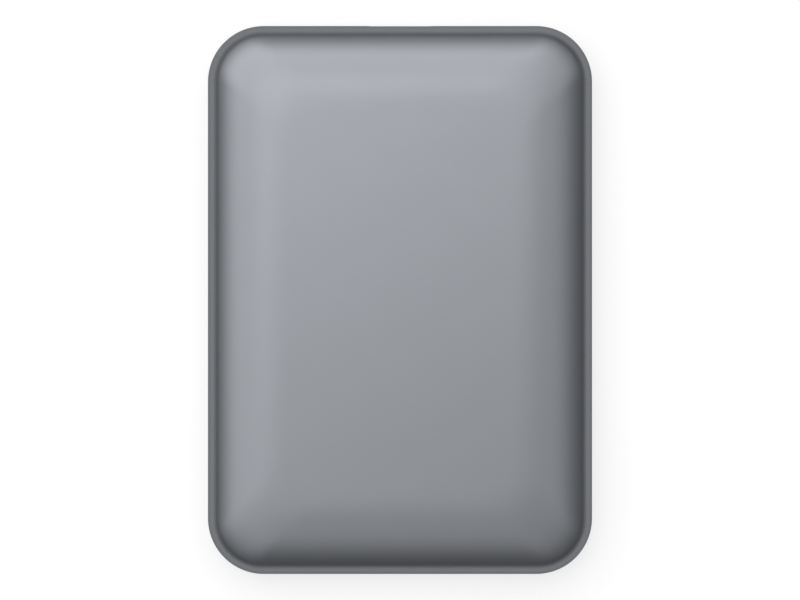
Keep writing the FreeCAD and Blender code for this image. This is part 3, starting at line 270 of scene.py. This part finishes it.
room = given["Half width"] - inset
radius = (given["Corner radius"] - inset).math("SMOOTH_MAX", given["Least radius"], given["Softness"])
radius = radius.math("MINIMUM", room)
corner = (column / run).math("FLOOR")
step = column - corner * run
angle = (corner + (step / given["Arc steps"]).math("MINIMUM", 1.0)) * (math.pi / 2)
slide = (step - given["Arc steps"]).math("MAXIMUM", 0.0) / given["Side steps"]


def along(wave, half):
    """One coordinate of a ring: its corner's centre, slid along the straight run, plus the arc."""
    here = (corner * (math.pi / 2) + math.pi / 4).math(wave) * math.sqrt(2)
    there = (corner * (math.pi / 2) + 3 * math.pi / 4).math(wave) * math.sqrt(2)
    side = here + (there - here) * slide
    return side * (half - inset - radius) + radius * angle.math(wave)


place = add_node(shell_tree, "ShaderNodeCombineXYZ")
set_position = add_node(shell_tree, "GeometryNodeSetPosition")
weld = add_node(shell_tree, "GeometryNodeMergeByDistance")
weld.inputs["Distance"].default_value = weld_distance * MM
connect(shell_tree, (along("COSINE", given["Half width"]).socket, place.inputs["X"]),
        (along("SINE", given["Half length"]).socket, place.inputs["Y"]), (height.socket, place.inputs["Z"]),
        (grid.outputs["Mesh"], set_position.inputs["Geometry"]),
        (place.outputs[0], set_position.inputs["Position"]),
        (set_position.outputs[0], weld.inputs["Geometry"]))
end_tree(shell_tree, weld.outputs[0], given["Material"], shell_end)
print("shell tree:", len(shell_tree.nodes), "nodes")

# %% [markdown]
# ## From node tree to plain mesh
# A modifier's inputs are set by the sockets' identifiers, the object is evaluated once, and the
# result is kept as an ordinary mesh. The same helper also bakes boolean cuts. Set Material leaves
# an empty first slot, and faces left by a cutting tool would take it, so the finish is put on one
# slot for all faces. Then the outward direction of the faces is worked out afresh, and edges
# sharper than a set angle are marked, so broad curves shade smoothly and cut edges stay crisp.

# %% Baking helpers


def new_object(name, data):
    item = bpy.data.objects.new(name, data)
    scene.collection.objects.link(item)
    return item


def set_inputs(modifier, values):
    for socket in modifier.node_group.interface.items_tree:
        if socket.in_out == "INPUT" and socket.name in values:
            modifier[socket.identifier] = values[socket.name]


def face_outward(mesh):
    shape = bmesh.new()
    shape.from_mesh(mesh)
    bmesh.ops.recalc_face_normals(shape, faces=shape.faces)
    shape.to_mesh(mesh)
    shape.free()


def bake(item, sharp_degrees=32):
    """Replace an object's mesh by its evaluated one and remove its modifiers."""
    evaluated = item.evaluated_get(bpy.context.evaluated_depsgraph_get())
    mesh = bpy.data.meshes.new_from_object(evaluated)
    item.modifiers.clear()
    item.data = mesh
    mesh.name = item.name
    skin = next(material for material in mesh.materials if material)
    mesh.materials.clear()
    mesh.materials.append(skin)
    mesh.polygons.foreach_set("material_index", [0] * len(mesh.polygons))
    face_outward(mesh)
    mesh.shade_smooth()
    mesh.set_sharp_from_angle(angle=math.radians(sharp_degrees))
    return item


def run_tree(name, tree, values):
    item = new_object(name, bpy.data.meshes.new(name))
    modifier = item.modifiers.new("nodes", "NODES")
    modifier.node_group = tree
    set_inputs(modifier, values)
    return bake(item)


def point_row(name, points):
    """A loose row of points, in millimetres, that a tree can read."""
    mesh = bpy.data.meshes.new(name)
    mesh.from_pydata([[value * MM for value in point] for point in points], [], [])
    return new_object(name, mesh)


print("baking helpers ready")

# %% [markdown]
# ## Finishes
# Every finish is a Principled shader fed by noise textures on Object coordinates: a slow one that
# shifts the colour a little, as no real surface is one even colour, and a fine one that varies the
# roughness and becomes bump. Grain and bump are sizes of real marks on the surface, so a grain of
# 0.2 mm stays 0.2 mm whatever the size of the piece.

# %% A finish with grain
PATCH_PER_GRAIN = 18
LEAST_PATCH = 4
PATCH_DETAIL = 3
LEAST_ROUGHNESS = 0.02
BUMP_STRENGTH = 0.5


def placed(tree, location=(0, 0, 0), scale=(1, 1, 1)):
    """Object coordinates, moved by millimetres and then stretched."""
    spot = add_node(tree, "ShaderNodeTexCoord")
    mapping = add_node(tree, "ShaderNodeMapping")
    shift = [-place_mm * MM * factor for place_mm, factor in zip(location, scale)]
    mapping.inputs["Location"].default_value = shift
    mapping.inputs["Scale"].default_value = scale
    tree.links.new(spot.outputs["Object"], mapping.inputs["Vector"])
    return mapping.outputs[0]


def noise(tree, vector, size, detail=2):
    node = add_node(tree, "ShaderNodeTexNoise")
    node.inputs["Scale"].default_value = 1 / (size * MM)
    node.inputs["Detail"].default_value = detail
    tree.links.new(vector, node.inputs["Vector"])
    return node.outputs["Fac"]


def finish(name, colour, roughness, metallic=0.0, grain=0.2, bump=0.02, shift=0.06, wear=0.06,
           stretch=(1, 1, 1), edge=1.0, marks=None, marked_colour=None):
    """Grain and bump depth in millimetres; shift and wear are how far colour and roughness vary.

    Edge dims a metal at grazing angles, as metallic paint does. Marks is a function that draws a
    pattern, for the bump and for a second colour.
    """
    material = bpy.data.materials.new(name)
    material.use_nodes = True
    material.diffuse_color = (*colour, 1)
    tree = material.node_tree
    shader = tree.nodes["Principled BSDF"]
    shader.inputs["Metallic"].default_value = metallic
    shader.inputs["Specular Tint"].default_value = (edge, edge, edge, 1)
    vector = placed(tree, scale=stretch)
    speckle = noise(tree, vector, grain)
    pattern = marks(tree) if marks else speckle
    patch = PATCH_PER_GRAIN * grain + LEAST_PATCH
    patches = pattern if marked_colour else noise(tree, vector, patch, PATCH_DETAIL)
    blend = add_node(tree, "ShaderNodeMix", data_type="RGBA")
    blend.inputs["A"].default_value = (*[c * (1 - shift) for c in colour], 1)
    blend.inputs["B"].default_value = (*(marked_colour or [min(1, c * (1 + shift)) for c in colour]), 1)
    spread = add_node(tree, "ShaderNodeMapRange")
    spread.inputs["To Min"].default_value = max(LEAST_ROUGHNESS, roughness - wear)
    spread.inputs["To Max"].default_value = min(1, roughness + wear)
    relief = add_node(tree, "ShaderNodeBump")
    relief.inputs["Strength"].default_value = BUMP_STRENGTH
    relief.inputs["Distance"].default_value = bump * MM
    connect(tree, (patches, blend.inputs["Factor"]), (blend.outputs["Result"], shader.inputs["Base Color"]),
            (speckle, spread.inputs["Value"]), (spread.outputs[0], shader.inputs["Roughness"]),
            (pattern, relief.inputs["Height"]), (relief.outputs[0], shader.inputs["Normal"]))
    return material


cover_colour = (0.216, 0.226, 0.242)
cover_finish = finish("satin_silver_paint", cover_colour, roughness=0.39, metallic=0.95, edge=0.45,
                      grain=0.22, bump=0.004, shift=0.015, wear=0.03)
print("cover finish:", cover_finish.name)

# %% [markdown]
# ## Cutters
# The socket's notch, its chamfered mouth and the slot of the activity light are cut out of the end
# wall with boolean modifiers. Each cutter is a bar along Y with rounded corners in the XZ plane,
# made straight from its outline in mesh code. A bar with two different end outlines tapers, and
# that makes the chamfer. Ribs, posts and the tab below the socket are bars that are added.

# %% Bars for cutting and adding


def rounded_outline(left, right, low, high, radius, steps=6):
    points = []
    for x, z, start in ((right - radius, low + radius, -90), (right - radius, high - radius, 0),
                        (left + radius, high - radius, 90), (left + radius, low + radius, 180)):
        for step in range(steps + 1):
            turn = math.radians(start + 90 * step / steps)
            points.append((x + radius * math.cos(turn), z + radius * math.sin(turn)))
    return points


def bar(name, front, rear, front_outline, rear_outline=None):
    """A closed bar along Y between two outlines with equally many points."""
    rear_outline = rear_outline or front_outline
    count = len(front_outline)
    points = [(x * MM, front * MM, z * MM) for x, z in front_outline]
    points += [(x * MM, rear * MM, z * MM) for x, z in rear_outline]
    faces = [tuple(range(count)), tuple(range(2 * count - 1, count - 1, -1))]
    for corner_index in range(count):
        following = (corner_index + 1) % count
        faces.append((corner_index, corner_index + count, following + count, following))
    mesh = bpy.data.meshes.new(name)
    mesh.from_pydata(points, [], faces)
    return new_object(name, mesh)


def block(name, low, high):
    corners = [(low[0], low[2]), (high[0], low[2]), (high[0], high[2]), (low[0], high[2])]
    return bar(name, low[1], high[1], corners)


def reshape(item, tools, operation):
    """Cut the tools away from a piece, or add them to it, and delete the tools."""
    for tool in tools:
        face_outward(tool.data)
        modifier = item.modifiers.new(tool.name, "BOOLEAN")
        modifier.object = tool
        modifier.operation = operation
        modifier.solver = "EXACT"
    bake(item)
    for tool in tools:
        bpy.data.objects.remove(tool)


print("bar helpers ready")

# %% [markdown]
# ## Snaps
# Eight small beads on the bottom cover's lip click into pockets in the top cover's wall. They
# repeat, so a small tree sets a four-sided bar, turned onto its edge, on every point it is given.
# Bars that are a little larger make the pockets.

# %% Build the snap tree
snap_sides = 4


def cylinder(tree, sides, radius, depth):
    node = add_node(tree, "GeometryNodeMeshCylinder")
    node.inputs["Vertices"].default_value = sides
    connect(tree, (radius.socket, node.inputs["Radius"]), (depth.socket, node.inputs["Depth"]))
    return node.outputs["Mesh"]


def on_points(tree, places, instance, turn):
    """A turned copy of a mesh on every point of an object."""
    info = add_node(tree, "GeometryNodeObjectInfo")
    copies = add_node(tree, "GeometryNodeInstanceOnPoints")
    connect(tree, (places.socket, info.inputs["Object"]), (info.outputs["Geometry"], copies.inputs["Points"]),
            (instance, copies.inputs["Instance"]), (turn.socket, copies.inputs["Rotation"]))
    return copies.outputs[0]


snap_tree, wanted, snap_end = new_tree("snap_bars", {
    "Places": "Object", "Half": "Float", "Length": "Float", "Turn": "Vector", "Material": "Material"})
snap_bar = cylinder(snap_tree, snap_sides, wanted["Half"], wanted["Length"])
snap_copies = on_points(snap_tree, wanted["Places"], snap_bar, wanted["Turn"])
end_tree(snap_tree, snap_copies, wanted["Material"], snap_end)
print("snap tree:", len(snap_tree.nodes), "nodes")

# %% Place the snaps
snap_half = 0.65
snap_length = 8.0
snap_proud = 0.45
snap_pitch = 30.0
snap_rise = 0.9
snap_height = seam_height + snap_rise


def snap_bars(name, grow):
    """Bars along both sides and along the front, each larger by grow all round."""
    depth = lip_outer + snap_half - snap_proud
    side_points = [(side * (half_width - depth), along_side * snap_pitch, snap_height)
                   for side in (-1, 1) for along_side in (-1, 0, 1)]
    front_points = [(side * snap_pitch / 2, depth - half_length, snap_height) for side in (-1, 1)]
    rows = {"side": (side_points, (math.pi / 2, 0, 0)), "front": (front_points, (0, math.pi / 2, 0))}
    bars = []
    for label, (points, turn) in rows.items():
        places = point_row("snap_places", points)
        bars.append(run_tree(name + "_" + label, snap_tree, {
            "Places": places, "Half": (snap_half + grow) * MM, "Length": (snap_length + 2 * grow) * MM,
            "Turn": turn, "Material": cover_finish}))
        bpy.data.objects.remove(places)
    return bars


print("snap bars reach %.2f mm out of the lip" % snap_proud)

# %% [markdown]
# ## The top cover
# This is the piece that the photograph shows: upright sides and a shoulder that rolls over into a
# broad plain roof. The end wall has a notch for the socket and a slot for the activity light, and a
# grid of ribs stiffens the roof from below.

# %% Make the top cover
roof_corner_radius = 8.0
corner_softness = 5.0
arc_steps = 28
straight_steps = 14
shell_sizes = {
    "Half width": half_width * MM, "Half length": half_length * MM, "Corner radius": corner_radius * MM,
    "Least radius": roof_corner_radius * MM, "Softness": corner_softness * MM,
    "Arc steps": arc_steps, "Side steps": straight_steps, "Material": cover_finish,
}


def sweep_cover(name, section):
    """A cover from its section, a list of insets and heights."""
    path = point_row(name + "_section", [(inset_mm, 0, height_mm) for inset_mm, height_mm in section])
    cover = run_tree(name, shell_tree, {**shell_sizes, "Section": path, "Rings": len(section)})
    bpy.data.objects.remove(path)
    return cover


top_cover = sweep_cover("upper_cover", top_section)

slide_gap = 0.1
port_half = 6.7
port_top = 7.9
port_corner = 0.8
mouth_chamfer = 0.25
light_low, light_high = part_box("light_pipe")
light_x = (light_low.x + light_high.x) / 2 / MM
light_z = (light_low.z + light_high.z) / 2 / MM
slot_half_width = 1.3
slot_half_height = 0.7
slot_corner = 0.12
slot_steps = 3


def port_outline(grow):
    return rounded_outline(-port_half - grow, port_half + grow,
                           seam_height - wall, port_top + grow, port_corner + grow)


reshape(top_cover, [
    bar("port_notch", half_length - 2 * wall, half_length + wall, port_outline(0)),
    bar("port_mouth", half_length - mouth_chamfer, half_length + mouth_chamfer,
        port_outline(0), port_outline(2 * mouth_chamfer)),
    bar("light_slot", half_length - 2 * wall, half_length + wall,
        rounded_outline(light_x - slot_half_width, light_x + slot_half_width,
                        light_z - slot_half_height, light_z + slot_half_height, slot_corner, slot_steps)),
] + snap_bars("snap_pocket", slide_gap), "DIFFERENCE")
print("top cover:", len(top_cover.data.polygons), "faces")

# %% Add the ribs under the roof
rib_half = 0.6
rib_depth = 1.6
rib_span = 44.0
rib_pitch = 16.0
foam_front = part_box("foam_pad_front")[1].y / MM
foam_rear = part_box("foam_pad_rear")[0].y / MM
rib_middle = (foam_front + foam_rear) / 2
rib_low = inner_roof - rib_depth
rib_high = inner_roof + wall / 2
ribs = []
for step_index in (-1, 0, 1):
    rib_y = rib_middle + step_index * rib_pitch
    ribs.append(block("cross_rib_%d" % step_index, (-rib_span / 2, rib_y - rib_half, rib_low),
                      (rib_span / 2, rib_y + rib_half, rib_high)))
for side_sign in (-1, 1):
    rib_x = side_sign * rib_span / 4
    ribs.append(block("long_rib_%d" % side_sign, (rib_x - rib_half, rib_middle - rib_pitch, rib_low),
                      (rib_x + rib_half, rib_middle + rib_pitch, rib_high)))
reshape(top_cover, ribs, "UNION")
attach(top_cover, "housing")
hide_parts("top_cover")
print("top cover with ribs:", len(top_cover.data.polygons), "faces")

# %% [markdown]
# ## The bottom cover
# The lower half is a tray with a rounded foot, a shadow groove along the seam, and a lip that
# locates the top cover and carries the beads. Behind the socket the lip is cut away for the circuit
# board, two posts carry that board, and a tab fills the notch in the top cover up to the mouth.

# %% Make the bottom cover
bottom_cover = sweep_cover("lower_cover", bottom_section)


def in_mm(corners):
    """A box's lowest and highest corners, in millimetres."""
    return [corner_point / MM for corner_point in corners]


board_low, board_high = in_mm(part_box("bridge_board"))
board_gap = 0.4
reshape(bottom_cover, [
    block("board_opening", (board_low.x - board_gap, half_length - 2 * lip_inner, board_low.z - board_gap),
          (board_high.x + board_gap, half_length - wall, lip_height + wall)),
], "DIFFERENCE")
port_low = 4.7
tab_sink = 0.5
tab_setback = 0.02
post_half = 1.6
post_places = (-23.5, 15.0)
post_y = (board_low.y + board_high.y) / 2
supports = [block("port_tab", (slide_gap - port_half, half_length - wall, brim - tab_sink),
                  (port_half - slide_gap, half_length - tab_setback, port_low))]
for post_x in post_places:
    supports.append(block("board_post_%d" % post_x, (post_x - post_half, post_y - post_half, wall / 2),
                          (post_x + post_half, post_y + post_half, board_low.z)))
reshape(bottom_cover, supports + snap_bars("snap_bead", 0), "UNION")
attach(bottom_cover, "housing")
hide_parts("bottom_cover")
print("bottom cover:", len(bottom_cover.data.polygons), "faces")

# %% [markdown]
# ## Marks on inner surfaces
# Some surfaces need more than grain: turned metal has fine rings round its axis, a stack of sheets
# has lines, foam has pores, felt has fibres and a circuit board has tracks under its coating. Each
# of these small functions returns a pattern that a finish can use as bump and as a second colour.

# %% Pattern functions
# A wave texture of scale 1 repeats after this length.
WAVE_TURN = 2 * math.pi / 20
FIBRE_STRETCH = 0.12
FIBRE_DETAIL = 4


def waves(tree, vector, pitch, **kind):
    node = add_node(tree, "ShaderNodeTexWave", **kind)
    node.inputs["Scale"].default_value = WAVE_TURN / (pitch * MM)
    tree.links.new(vector, node.inputs["Vector"])
    return node.outputs["Fac"]


def turned(node, pitch):
    """Rings round the upright axis through the middle of a CAD node."""
    low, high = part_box(node)

    def draw(tree):
        vector = placed(tree, (low + high) / 2 / MM)
        return waves(tree, vector, pitch, wave_type="RINGS", rings_direction="Z")
    return draw


def banded(direction, pitch):
    """Even lines across one axis."""
    def draw(tree):
        return waves(tree, placed(tree), pitch, wave_type="BANDS", bands_direction=direction)
    return draw


def pores(size):
    def draw(tree):
        cells = add_node(tree, "ShaderNodeTexVoronoi")
        cells.inputs["Scale"].default_value = 1 / (size * MM)
        tree.links.new(placed(tree), cells.inputs["Vector"])
        return cells.outputs["Distance"]
    return draw


def fibres(size):
    """Two sets of drawn-out noise, one along each flat axis."""
    def draw(tree):
        along_x = Field(tree, noise(tree, placed(tree, scale=(FIBRE_STRETCH, 1, 1)), size, FIBRE_DETAIL))
        along_y = Field(tree, noise(tree, placed(tree, scale=(1, FIBRE_STRETCH, 1)), size, FIBRE_DETAIL))
        return along_x.math("MAXIMUM", along_y).socket
    return draw


def tracks(pitch):
    """Conductors under a board's coating: bricks whose joints are the tracks."""
    def draw(tree):
        bricks = add_node(tree, "ShaderNodeTexBrick", offset=0.37, offset_frequency=3,
                          squash=2.2, squash_frequency=4)
        sizes = {"Scale": 1 / (pitch * MM), "Mortar Size": 0.07, "Mortar Smooth": 0.2,
                 "Brick Width": 1.9, "Row Height": 0.45}
        for label, value in sizes.items():
            bricks.inputs[label].default_value = value
        tree.links.new(placed(tree), bricks.inputs["Vector"])
        return bricks.outputs["Fac"]
    return draw


print("patterns ready")

# %% [markdown]
# ## Finishes of the inner pieces
# The record gives every CAD node a material slot and every slot a base colour, so each finish takes
# its colour from there and adds the rest. Plastics and rubbers are dull and unmetallic, castings are
# coarse, sheet metal is drawn out along its length, and plated or polished pieces are smooth.

# %% Plastics, rubbers and soft pieces
slot_colours = {entry["slot"]: tuple(entry["base_color"]) for entry in frame["record"]["materials"]}
finishes = {"cover_plastic": cover_finish}


def coat(slot, name, roughness, metallic=0.0, **detail):
    finishes[slot] = finish(name, slot_colours[slot], roughness, metallic, **detail)
    return finishes[slot]


coat("bumper_rubber", "bumper_black_rubber", 0.72, grain=0.15, bump=0.02)
coat("pad_foam", "open_cell_foam", 0.95, grain=0.5, bump=0.3, marks=pores(0.45))
coat("connector_plastic", "connector_black_nylon", 0.45, grain=0.12, bump=0.008)
coat("chip_plastic", "chip_epoxy", 0.6, grain=0.08, bump=0.012)
coat("led_body", "led_milky_resin", 0.35, bump=0.004)
coat("seal_rubber", "seal_black_rubber", 0.65, grain=0.1, bump=0.01)
coat("ramp_plastic", "ramp_ivory_resin", 0.4, grain=0.15, bump=0.006)
coat("flex_plastic", "bracket_black_resin", 0.5, grain=0.15, bump=0.01)
coat("flex_film", "amber_film", 0.28, bump=0.006, marks=banded("Z", 0.32), marked_colour=(0.58, 0.3, 0.08))
coat("filter_felt", "filter_white_felt", 0.95, grain=0.1, bump=0.15, marks=fibres(0.12))
coat("pouch_felt", "pouch_woven_cloth", 0.95, grain=0.12, bump=0.12, marks=fibres(0.16))
clear_plastic = coat("light_clear", "clear_plastic", 0.18, grain=0.6, bump=0.002)
clear_plastic.node_tree.nodes["Principled BSDF"].inputs["Transmission Weight"].default_value = 0.85
print("plastics and soft finishes:", len(finishes))

# %% Metals
coat("socket_steel", "tinned_socket_steel", 0.3, 1.0, grain=0.25, bump=0.003, stretch=(1, 0.08, 1))
coat("contact_gold", "contact_gold", 0.22, 1.0, grain=0.1, bump=0.002)
coat("crystal_can", "crystal_nickel_can", 0.25, 1.0, bump=0.002)
coat("base_casting", "cast_alloy", 0.48, 1.0, grain=0.35, bump=0.03, shift=0.08)
coat("lid_sheet", "brushed_lid_sheet", 0.32, 1.0, grain=0.4, bump=0.004, stretch=(1, 0.05, 1))
coat("sleeve_bronze", "turned_bronze", 0.35, 1.0, bump=0.006, marks=turned("spindle_sleeve", 0.15))
coat("hub_alloy", "turned_alloy", 0.28, 1.0, bump=0.006, marks=turned("spindle_hub", 0.18))
coat("clamp_steel", "turned_steel", 0.25, 1.0, bump=0.005, marks=turned("disk_clamp", 0.22))
coat("platter_coat", "mirror_coat", 0.06, 1.0, grain=3.0, bump=0.0002, shift=0.02, wear=0.02)
coat("pivot_steel", "ground_steel", 0.24, 1.0, grain=0.15, bump=0.003)
coat("arm_alloy", "milled_alloy", 0.34, 1.0, grain=0.3, bump=0.006, stretch=(1, 0.15, 1))
coat("suspension_steel", "etched_spring_steel", 0.24, 1.0, bump=0.002)
coat("yoke_nickel", "satin_nickel", 0.36, 1.0, bump=0.006)
coat("magnet_nickel", "bright_nickel", 0.2, 1.0, grain=0.25, bump=0.003)
coat("stator_laminate", "stacked_iron", 0.42, 1.0, bump=0.02, marks=banded("Z", 0.15))
coat("winding_copper", "wound_copper", 0.3, 1.0, bump=0.03, marks=turned("motor_stator", 0.16),
     marked_colour=(0.8, 0.42, 0.22))
print("with metals:", len(finishes))

# %% Boards and small electronic parts
coat("bridge_mask", "blue_board", 0.38, bump=0.02, marks=tracks(1.6), marked_colour=(0.03, 0.1, 0.18))
coat("drive_mask", "green_board", 0.38, bump=0.02, marks=tracks(2.1), marked_colour=(0.04, 0.2, 0.09))
coat("inductor_ferrite", "inductor_ferrite", 0.55, grain=0.12, bump=0.015)
coat("rotor_ferrite", "rotor_ferrite", 0.5, grain=0.12, bump=0.012)
coat("capacitor_ceramic", "capacitor_ceramic", 0.42, grain=0.15, bump=0.006)
coat("slider_ceramic", "slider_ceramic", 0.22, grain=0.1, bump=0.002)
subparts = frame["record"]["subparts"]
for subpart in subparts:
    node = bpy.data.objects[subpart["node"]]
    node.data.materials.clear()
    node.data.materials.append(finishes[subpart["material_slot"]])
print("finishes:", len(finishes), "on", len(subparts), "nodes")

# %% [markdown]
# ## Screws
# The drive inside is held together by small screws: six round its lid, four under its circuit board
# and one through the clamp on the disk. They repeat, so one Geometry Nodes tree makes a head with a
# six-sided recess and sets a copy on every point it is given. The lid's and the board's heads ride
# on the housing, and the clamp's head turns with the disk.

# %% Build the screw tree
head_sides = 32
recess_sides = 6
screw_tree, asked, screw_end = new_tree("screw_heads", {
    "Places": "Object", "Radius": "Float", "Height": "Float", "Recess": "Float",
    "Turn": "Vector", "Material": "Material"})


def lifted(geometry, rise):
    move = add_node(screw_tree, "GeometryNodeTransform")
    offset = add_node(screw_tree, "ShaderNodeCombineXYZ")
    connect(screw_tree, (rise.socket, offset.inputs["Z"]), (geometry, move.inputs["Geometry"]),
            (offset.outputs[0], move.inputs["Translation"]))
    return move.outputs[0]


head = lifted(cylinder(screw_tree, head_sides, asked["Radius"], asked["Height"]), asked["Height"] * 0.5)
recess = lifted(cylinder(screw_tree, recess_sides, asked["Recess"], asked["Height"]), asked["Height"])
hollow = add_node(screw_tree, "GeometryNodeMeshBoolean", operation="DIFFERENCE")
connect(screw_tree, (head, hollow.inputs["Mesh 1"]), (recess, hollow.inputs["Mesh 2"]))
screw_copies = on_points(screw_tree, asked["Places"], hollow.outputs["Mesh"], asked["Turn"])
end_tree(screw_tree, screw_copies, asked["Material"], screw_end)
print("screw tree:", len(screw_tree.nodes), "nodes")

# %% Set the screws


def set_screws(name, body, points, radius, height, recess, turn=(0.0, 0.0, 0.0)):
    places = point_row(name + "_places", points)
    screws = run_tree(name, screw_tree, {
        "Places": places, "Radius": radius * MM, "Height": height * MM, "Recess": recess * MM,
        "Turn": turn, "Material": finishes["pivot_steel"]})
    bpy.data.objects.remove(places)
    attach(screws, body)
    print(name, len(points), "screws,", len(screws.data.polygons), "faces")


lid_low, lid_high = in_mm(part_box("drive_cover"))
lid_screw_height = 0.2
lid_ledge = lid_high.z - lid_screw_height
lid_inset = 1.55
lid_end = 7.0
lid_columns = (lid_low.x + lid_inset, lid_high.x - lid_inset)
lid_rows = (lid_low.y + lid_end, (lid_low.y + lid_high.y) / 2, lid_high.y - lid_end)
lid_points = [(x, y, lid_ledge) for x in lid_columns for y in lid_rows]
set_screws("lid_screws", "housing", lid_points, radius=1.1, height=lid_screw_height, recess=0.6)

circuit_low, circuit_high = in_mm(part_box("drive_board"))
circuit_inset = 2.4
circuit_columns = (circuit_low.x + circuit_inset, circuit_high.x - circuit_inset)
circuit_rows = (circuit_low.y + circuit_inset, circuit_high.y - 3 * circuit_inset)
circuit_points = [(x, y, circuit_low.z) for x in circuit_columns for y in circuit_rows]
upside_down = (math.pi, 0.0, 0.0)
set_screws("board_screws", "housing", circuit_points, radius=1.3, height=0.35, recess=0.7, turn=upside_down)

clamp_low, clamp_high = in_mm(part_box("disk_clamp"))
clamp_middle = (clamp_low + clamp_high) / 2
clamp_points = [(clamp_middle.x, clamp_middle.y, clamp_high.z)]
set_screws("clamp_screw", "disk_pack", clamp_points, radius=2.2, height=0.4, recess=1.1)

# %% [markdown]
# ## The stage
# The photograph is a plain product shot: white all round, a large soft light above the object and
# a little to its upper left. The floor is a plain grey sheet. To the camera, and in reflections, it
# also glows, just enough to read as white without more light on the object, and a soft shadow still
# shows where the object stands on it.

# %% Floor and world
# Sizes in the studio are in metres.
floor_half = 6.0
floor_drop = 0.00005
paper_grey = 0.3
floor_mesh = bpy.data.meshes.new("floor")
floor_mesh.from_pydata([(-floor_half, -floor_half, 0), (floor_half, -floor_half, 0),
                        (floor_half, floor_half, 0), (-floor_half, floor_half, 0)], [], [(0, 1, 2, 3)])
floor = new_object("floor", floor_mesh)
floor.location.z = -floor_drop
paper = bpy.data.materials.new("white_paper")
paper.use_nodes = True
paper_tree = paper.node_tree
paper_tree.nodes.clear()
paper_end = add_node(paper_tree, "ShaderNodeOutputMaterial")
paper_base = add_node(paper_tree, "ShaderNodeBsdfDiffuse")
paper_base.inputs["Color"].default_value = (paper_grey, paper_grey, paper_grey, 1)
paper_glow = add_node(paper_tree, "ShaderNodeEmission")
paper_glow.inputs["Strength"].default_value = 1 - paper_grey
paper_sum = add_node(paper_tree, "ShaderNodeAddShader")
paper_pick = add_node(paper_tree, "ShaderNodeMixShader")
rays = add_node(paper_tree, "ShaderNodeLightPath")
seen = Field(paper_tree, rays.outputs["Is Camera Ray"])
seen = seen.math("MAXIMUM", Field(paper_tree, rays.outputs["Is Glossy Ray"]))
seen = seen.math("MAXIMUM", Field(paper_tree, rays.outputs["Is Transmission Ray"]))
connect(paper_tree, (paper_base.outputs[0], paper_sum.inputs[0]),
        (paper_glow.outputs[0], paper_sum.inputs[1]),
        (seen.socket, paper_pick.inputs[0]), (paper_base.outputs[0], paper_pick.inputs[1]),
        (paper_sum.outputs[0], paper_pick.inputs[2]), (paper_pick.outputs[0], paper_end.inputs["Surface"]))
floor_mesh.materials.append(paper)

world = bpy.data.worlds.new("studio")
world.use_nodes = True
sky = world.node_tree.nodes["Background"]
sky.inputs["Color"].default_value = (0.9, 0.95, 1.0, 1)
sky.inputs["Strength"].default_value = 0.05
scene.world = world
print("floor and world ready")

# %% [markdown]
# ## Lamps
# A satin metallic paint shows what stands around it: the roof mirrors the softbox above, the
# shoulders mirror lower and lower parts of the studio, and the dark line just inside the outline is
# the unlit gap between the softboxes and the floor. So the studio is a large softbox overhead and
# three rings of smaller ones that end well above the floor, like a light tent. The photograph is
# brightest at its upper left, so each ring's lamps are stronger towards that bearing.

# %% Hang the softboxes


def softbox(name, location, aim, width, depth, power):
    lamp = bpy.data.lights.new(name, "AREA")
    lamp.shape = "RECTANGLE"
    lamp.size = width
    lamp.size_y = depth
    lamp.energy = power
    item = new_object(name, lamp)
    item.location = location
    item.rotation_euler = (Vector(aim) - Vector(location)).to_track_quat("-Z", "Y").to_euler()


def from_angle(tilt, bearing, distance):
    """A place at an angle from straight up, towards a bearing counted from the right-hand side."""
    tilt, bearing = math.radians(tilt), math.radians(bearing)
    lean = math.sin(tilt)
    return Vector((lean * math.cos(bearing), lean * math.sin(bearing), math.cos(tilt))) * distance


tent_radius = 0.8
bright_bearing = 120
lamps_in_ring = 8
floor_middle = (0, 0, 0)
overhead_place = Vector((-0.07, 0.10, tent_radius))
overhead_side = 1.1
overhead_power = 1.86
softbox("overhead", overhead_place, floor_middle, overhead_side, overhead_side, overhead_power)
# For each ring: tilt, a lamp's width and depth, its power, and what is added on the bright side.
lamp_rings = [(14, 0.20, 0.20, 0.0, 0.36), (34, 0.42, 0.30, 0.26, 0.26), (50, 0.55, 0.26, 0.18, 0.93)]
for tilt, width, depth, even_power, extra_power in lamp_rings:
    for lamp_index in range(lamps_in_ring):
        bearing = 360 * lamp_index / lamps_in_ring
        towards = ((1 + math.cos(math.radians(bearing - bright_bearing))) / 2) ** 2
        softbox("ring_%d_%d" % (tilt, bearing), from_angle(tilt, bearing, tent_radius), floor_middle,
                width, depth, even_power + extra_power * towards)

# %% [markdown]
# ## The camera
# The camera looks straight down from far away with a long lens. The photograph gives the scale:
# the case's width covers about 384 of 800 pixels, and its middle is in the middle of the picture.

# %% Aim the camera
photo_width = 800
pixels_across = 384.1
lens_distance = 0.9
camera_data = bpy.data.cameras.new("camera")
camera = new_object("camera", camera_data)
camera.location = (0, 0, shoulder_base * MM + lens_distance)
view_width = photo_width * 2 * half_width * MM / pixels_across
camera_data.lens = camera_data.sensor_width * lens_distance / view_width
scene.camera = camera
print("lens %.1f mm for a view %.1f mm wide" % (camera_data.lens, view_width / MM))
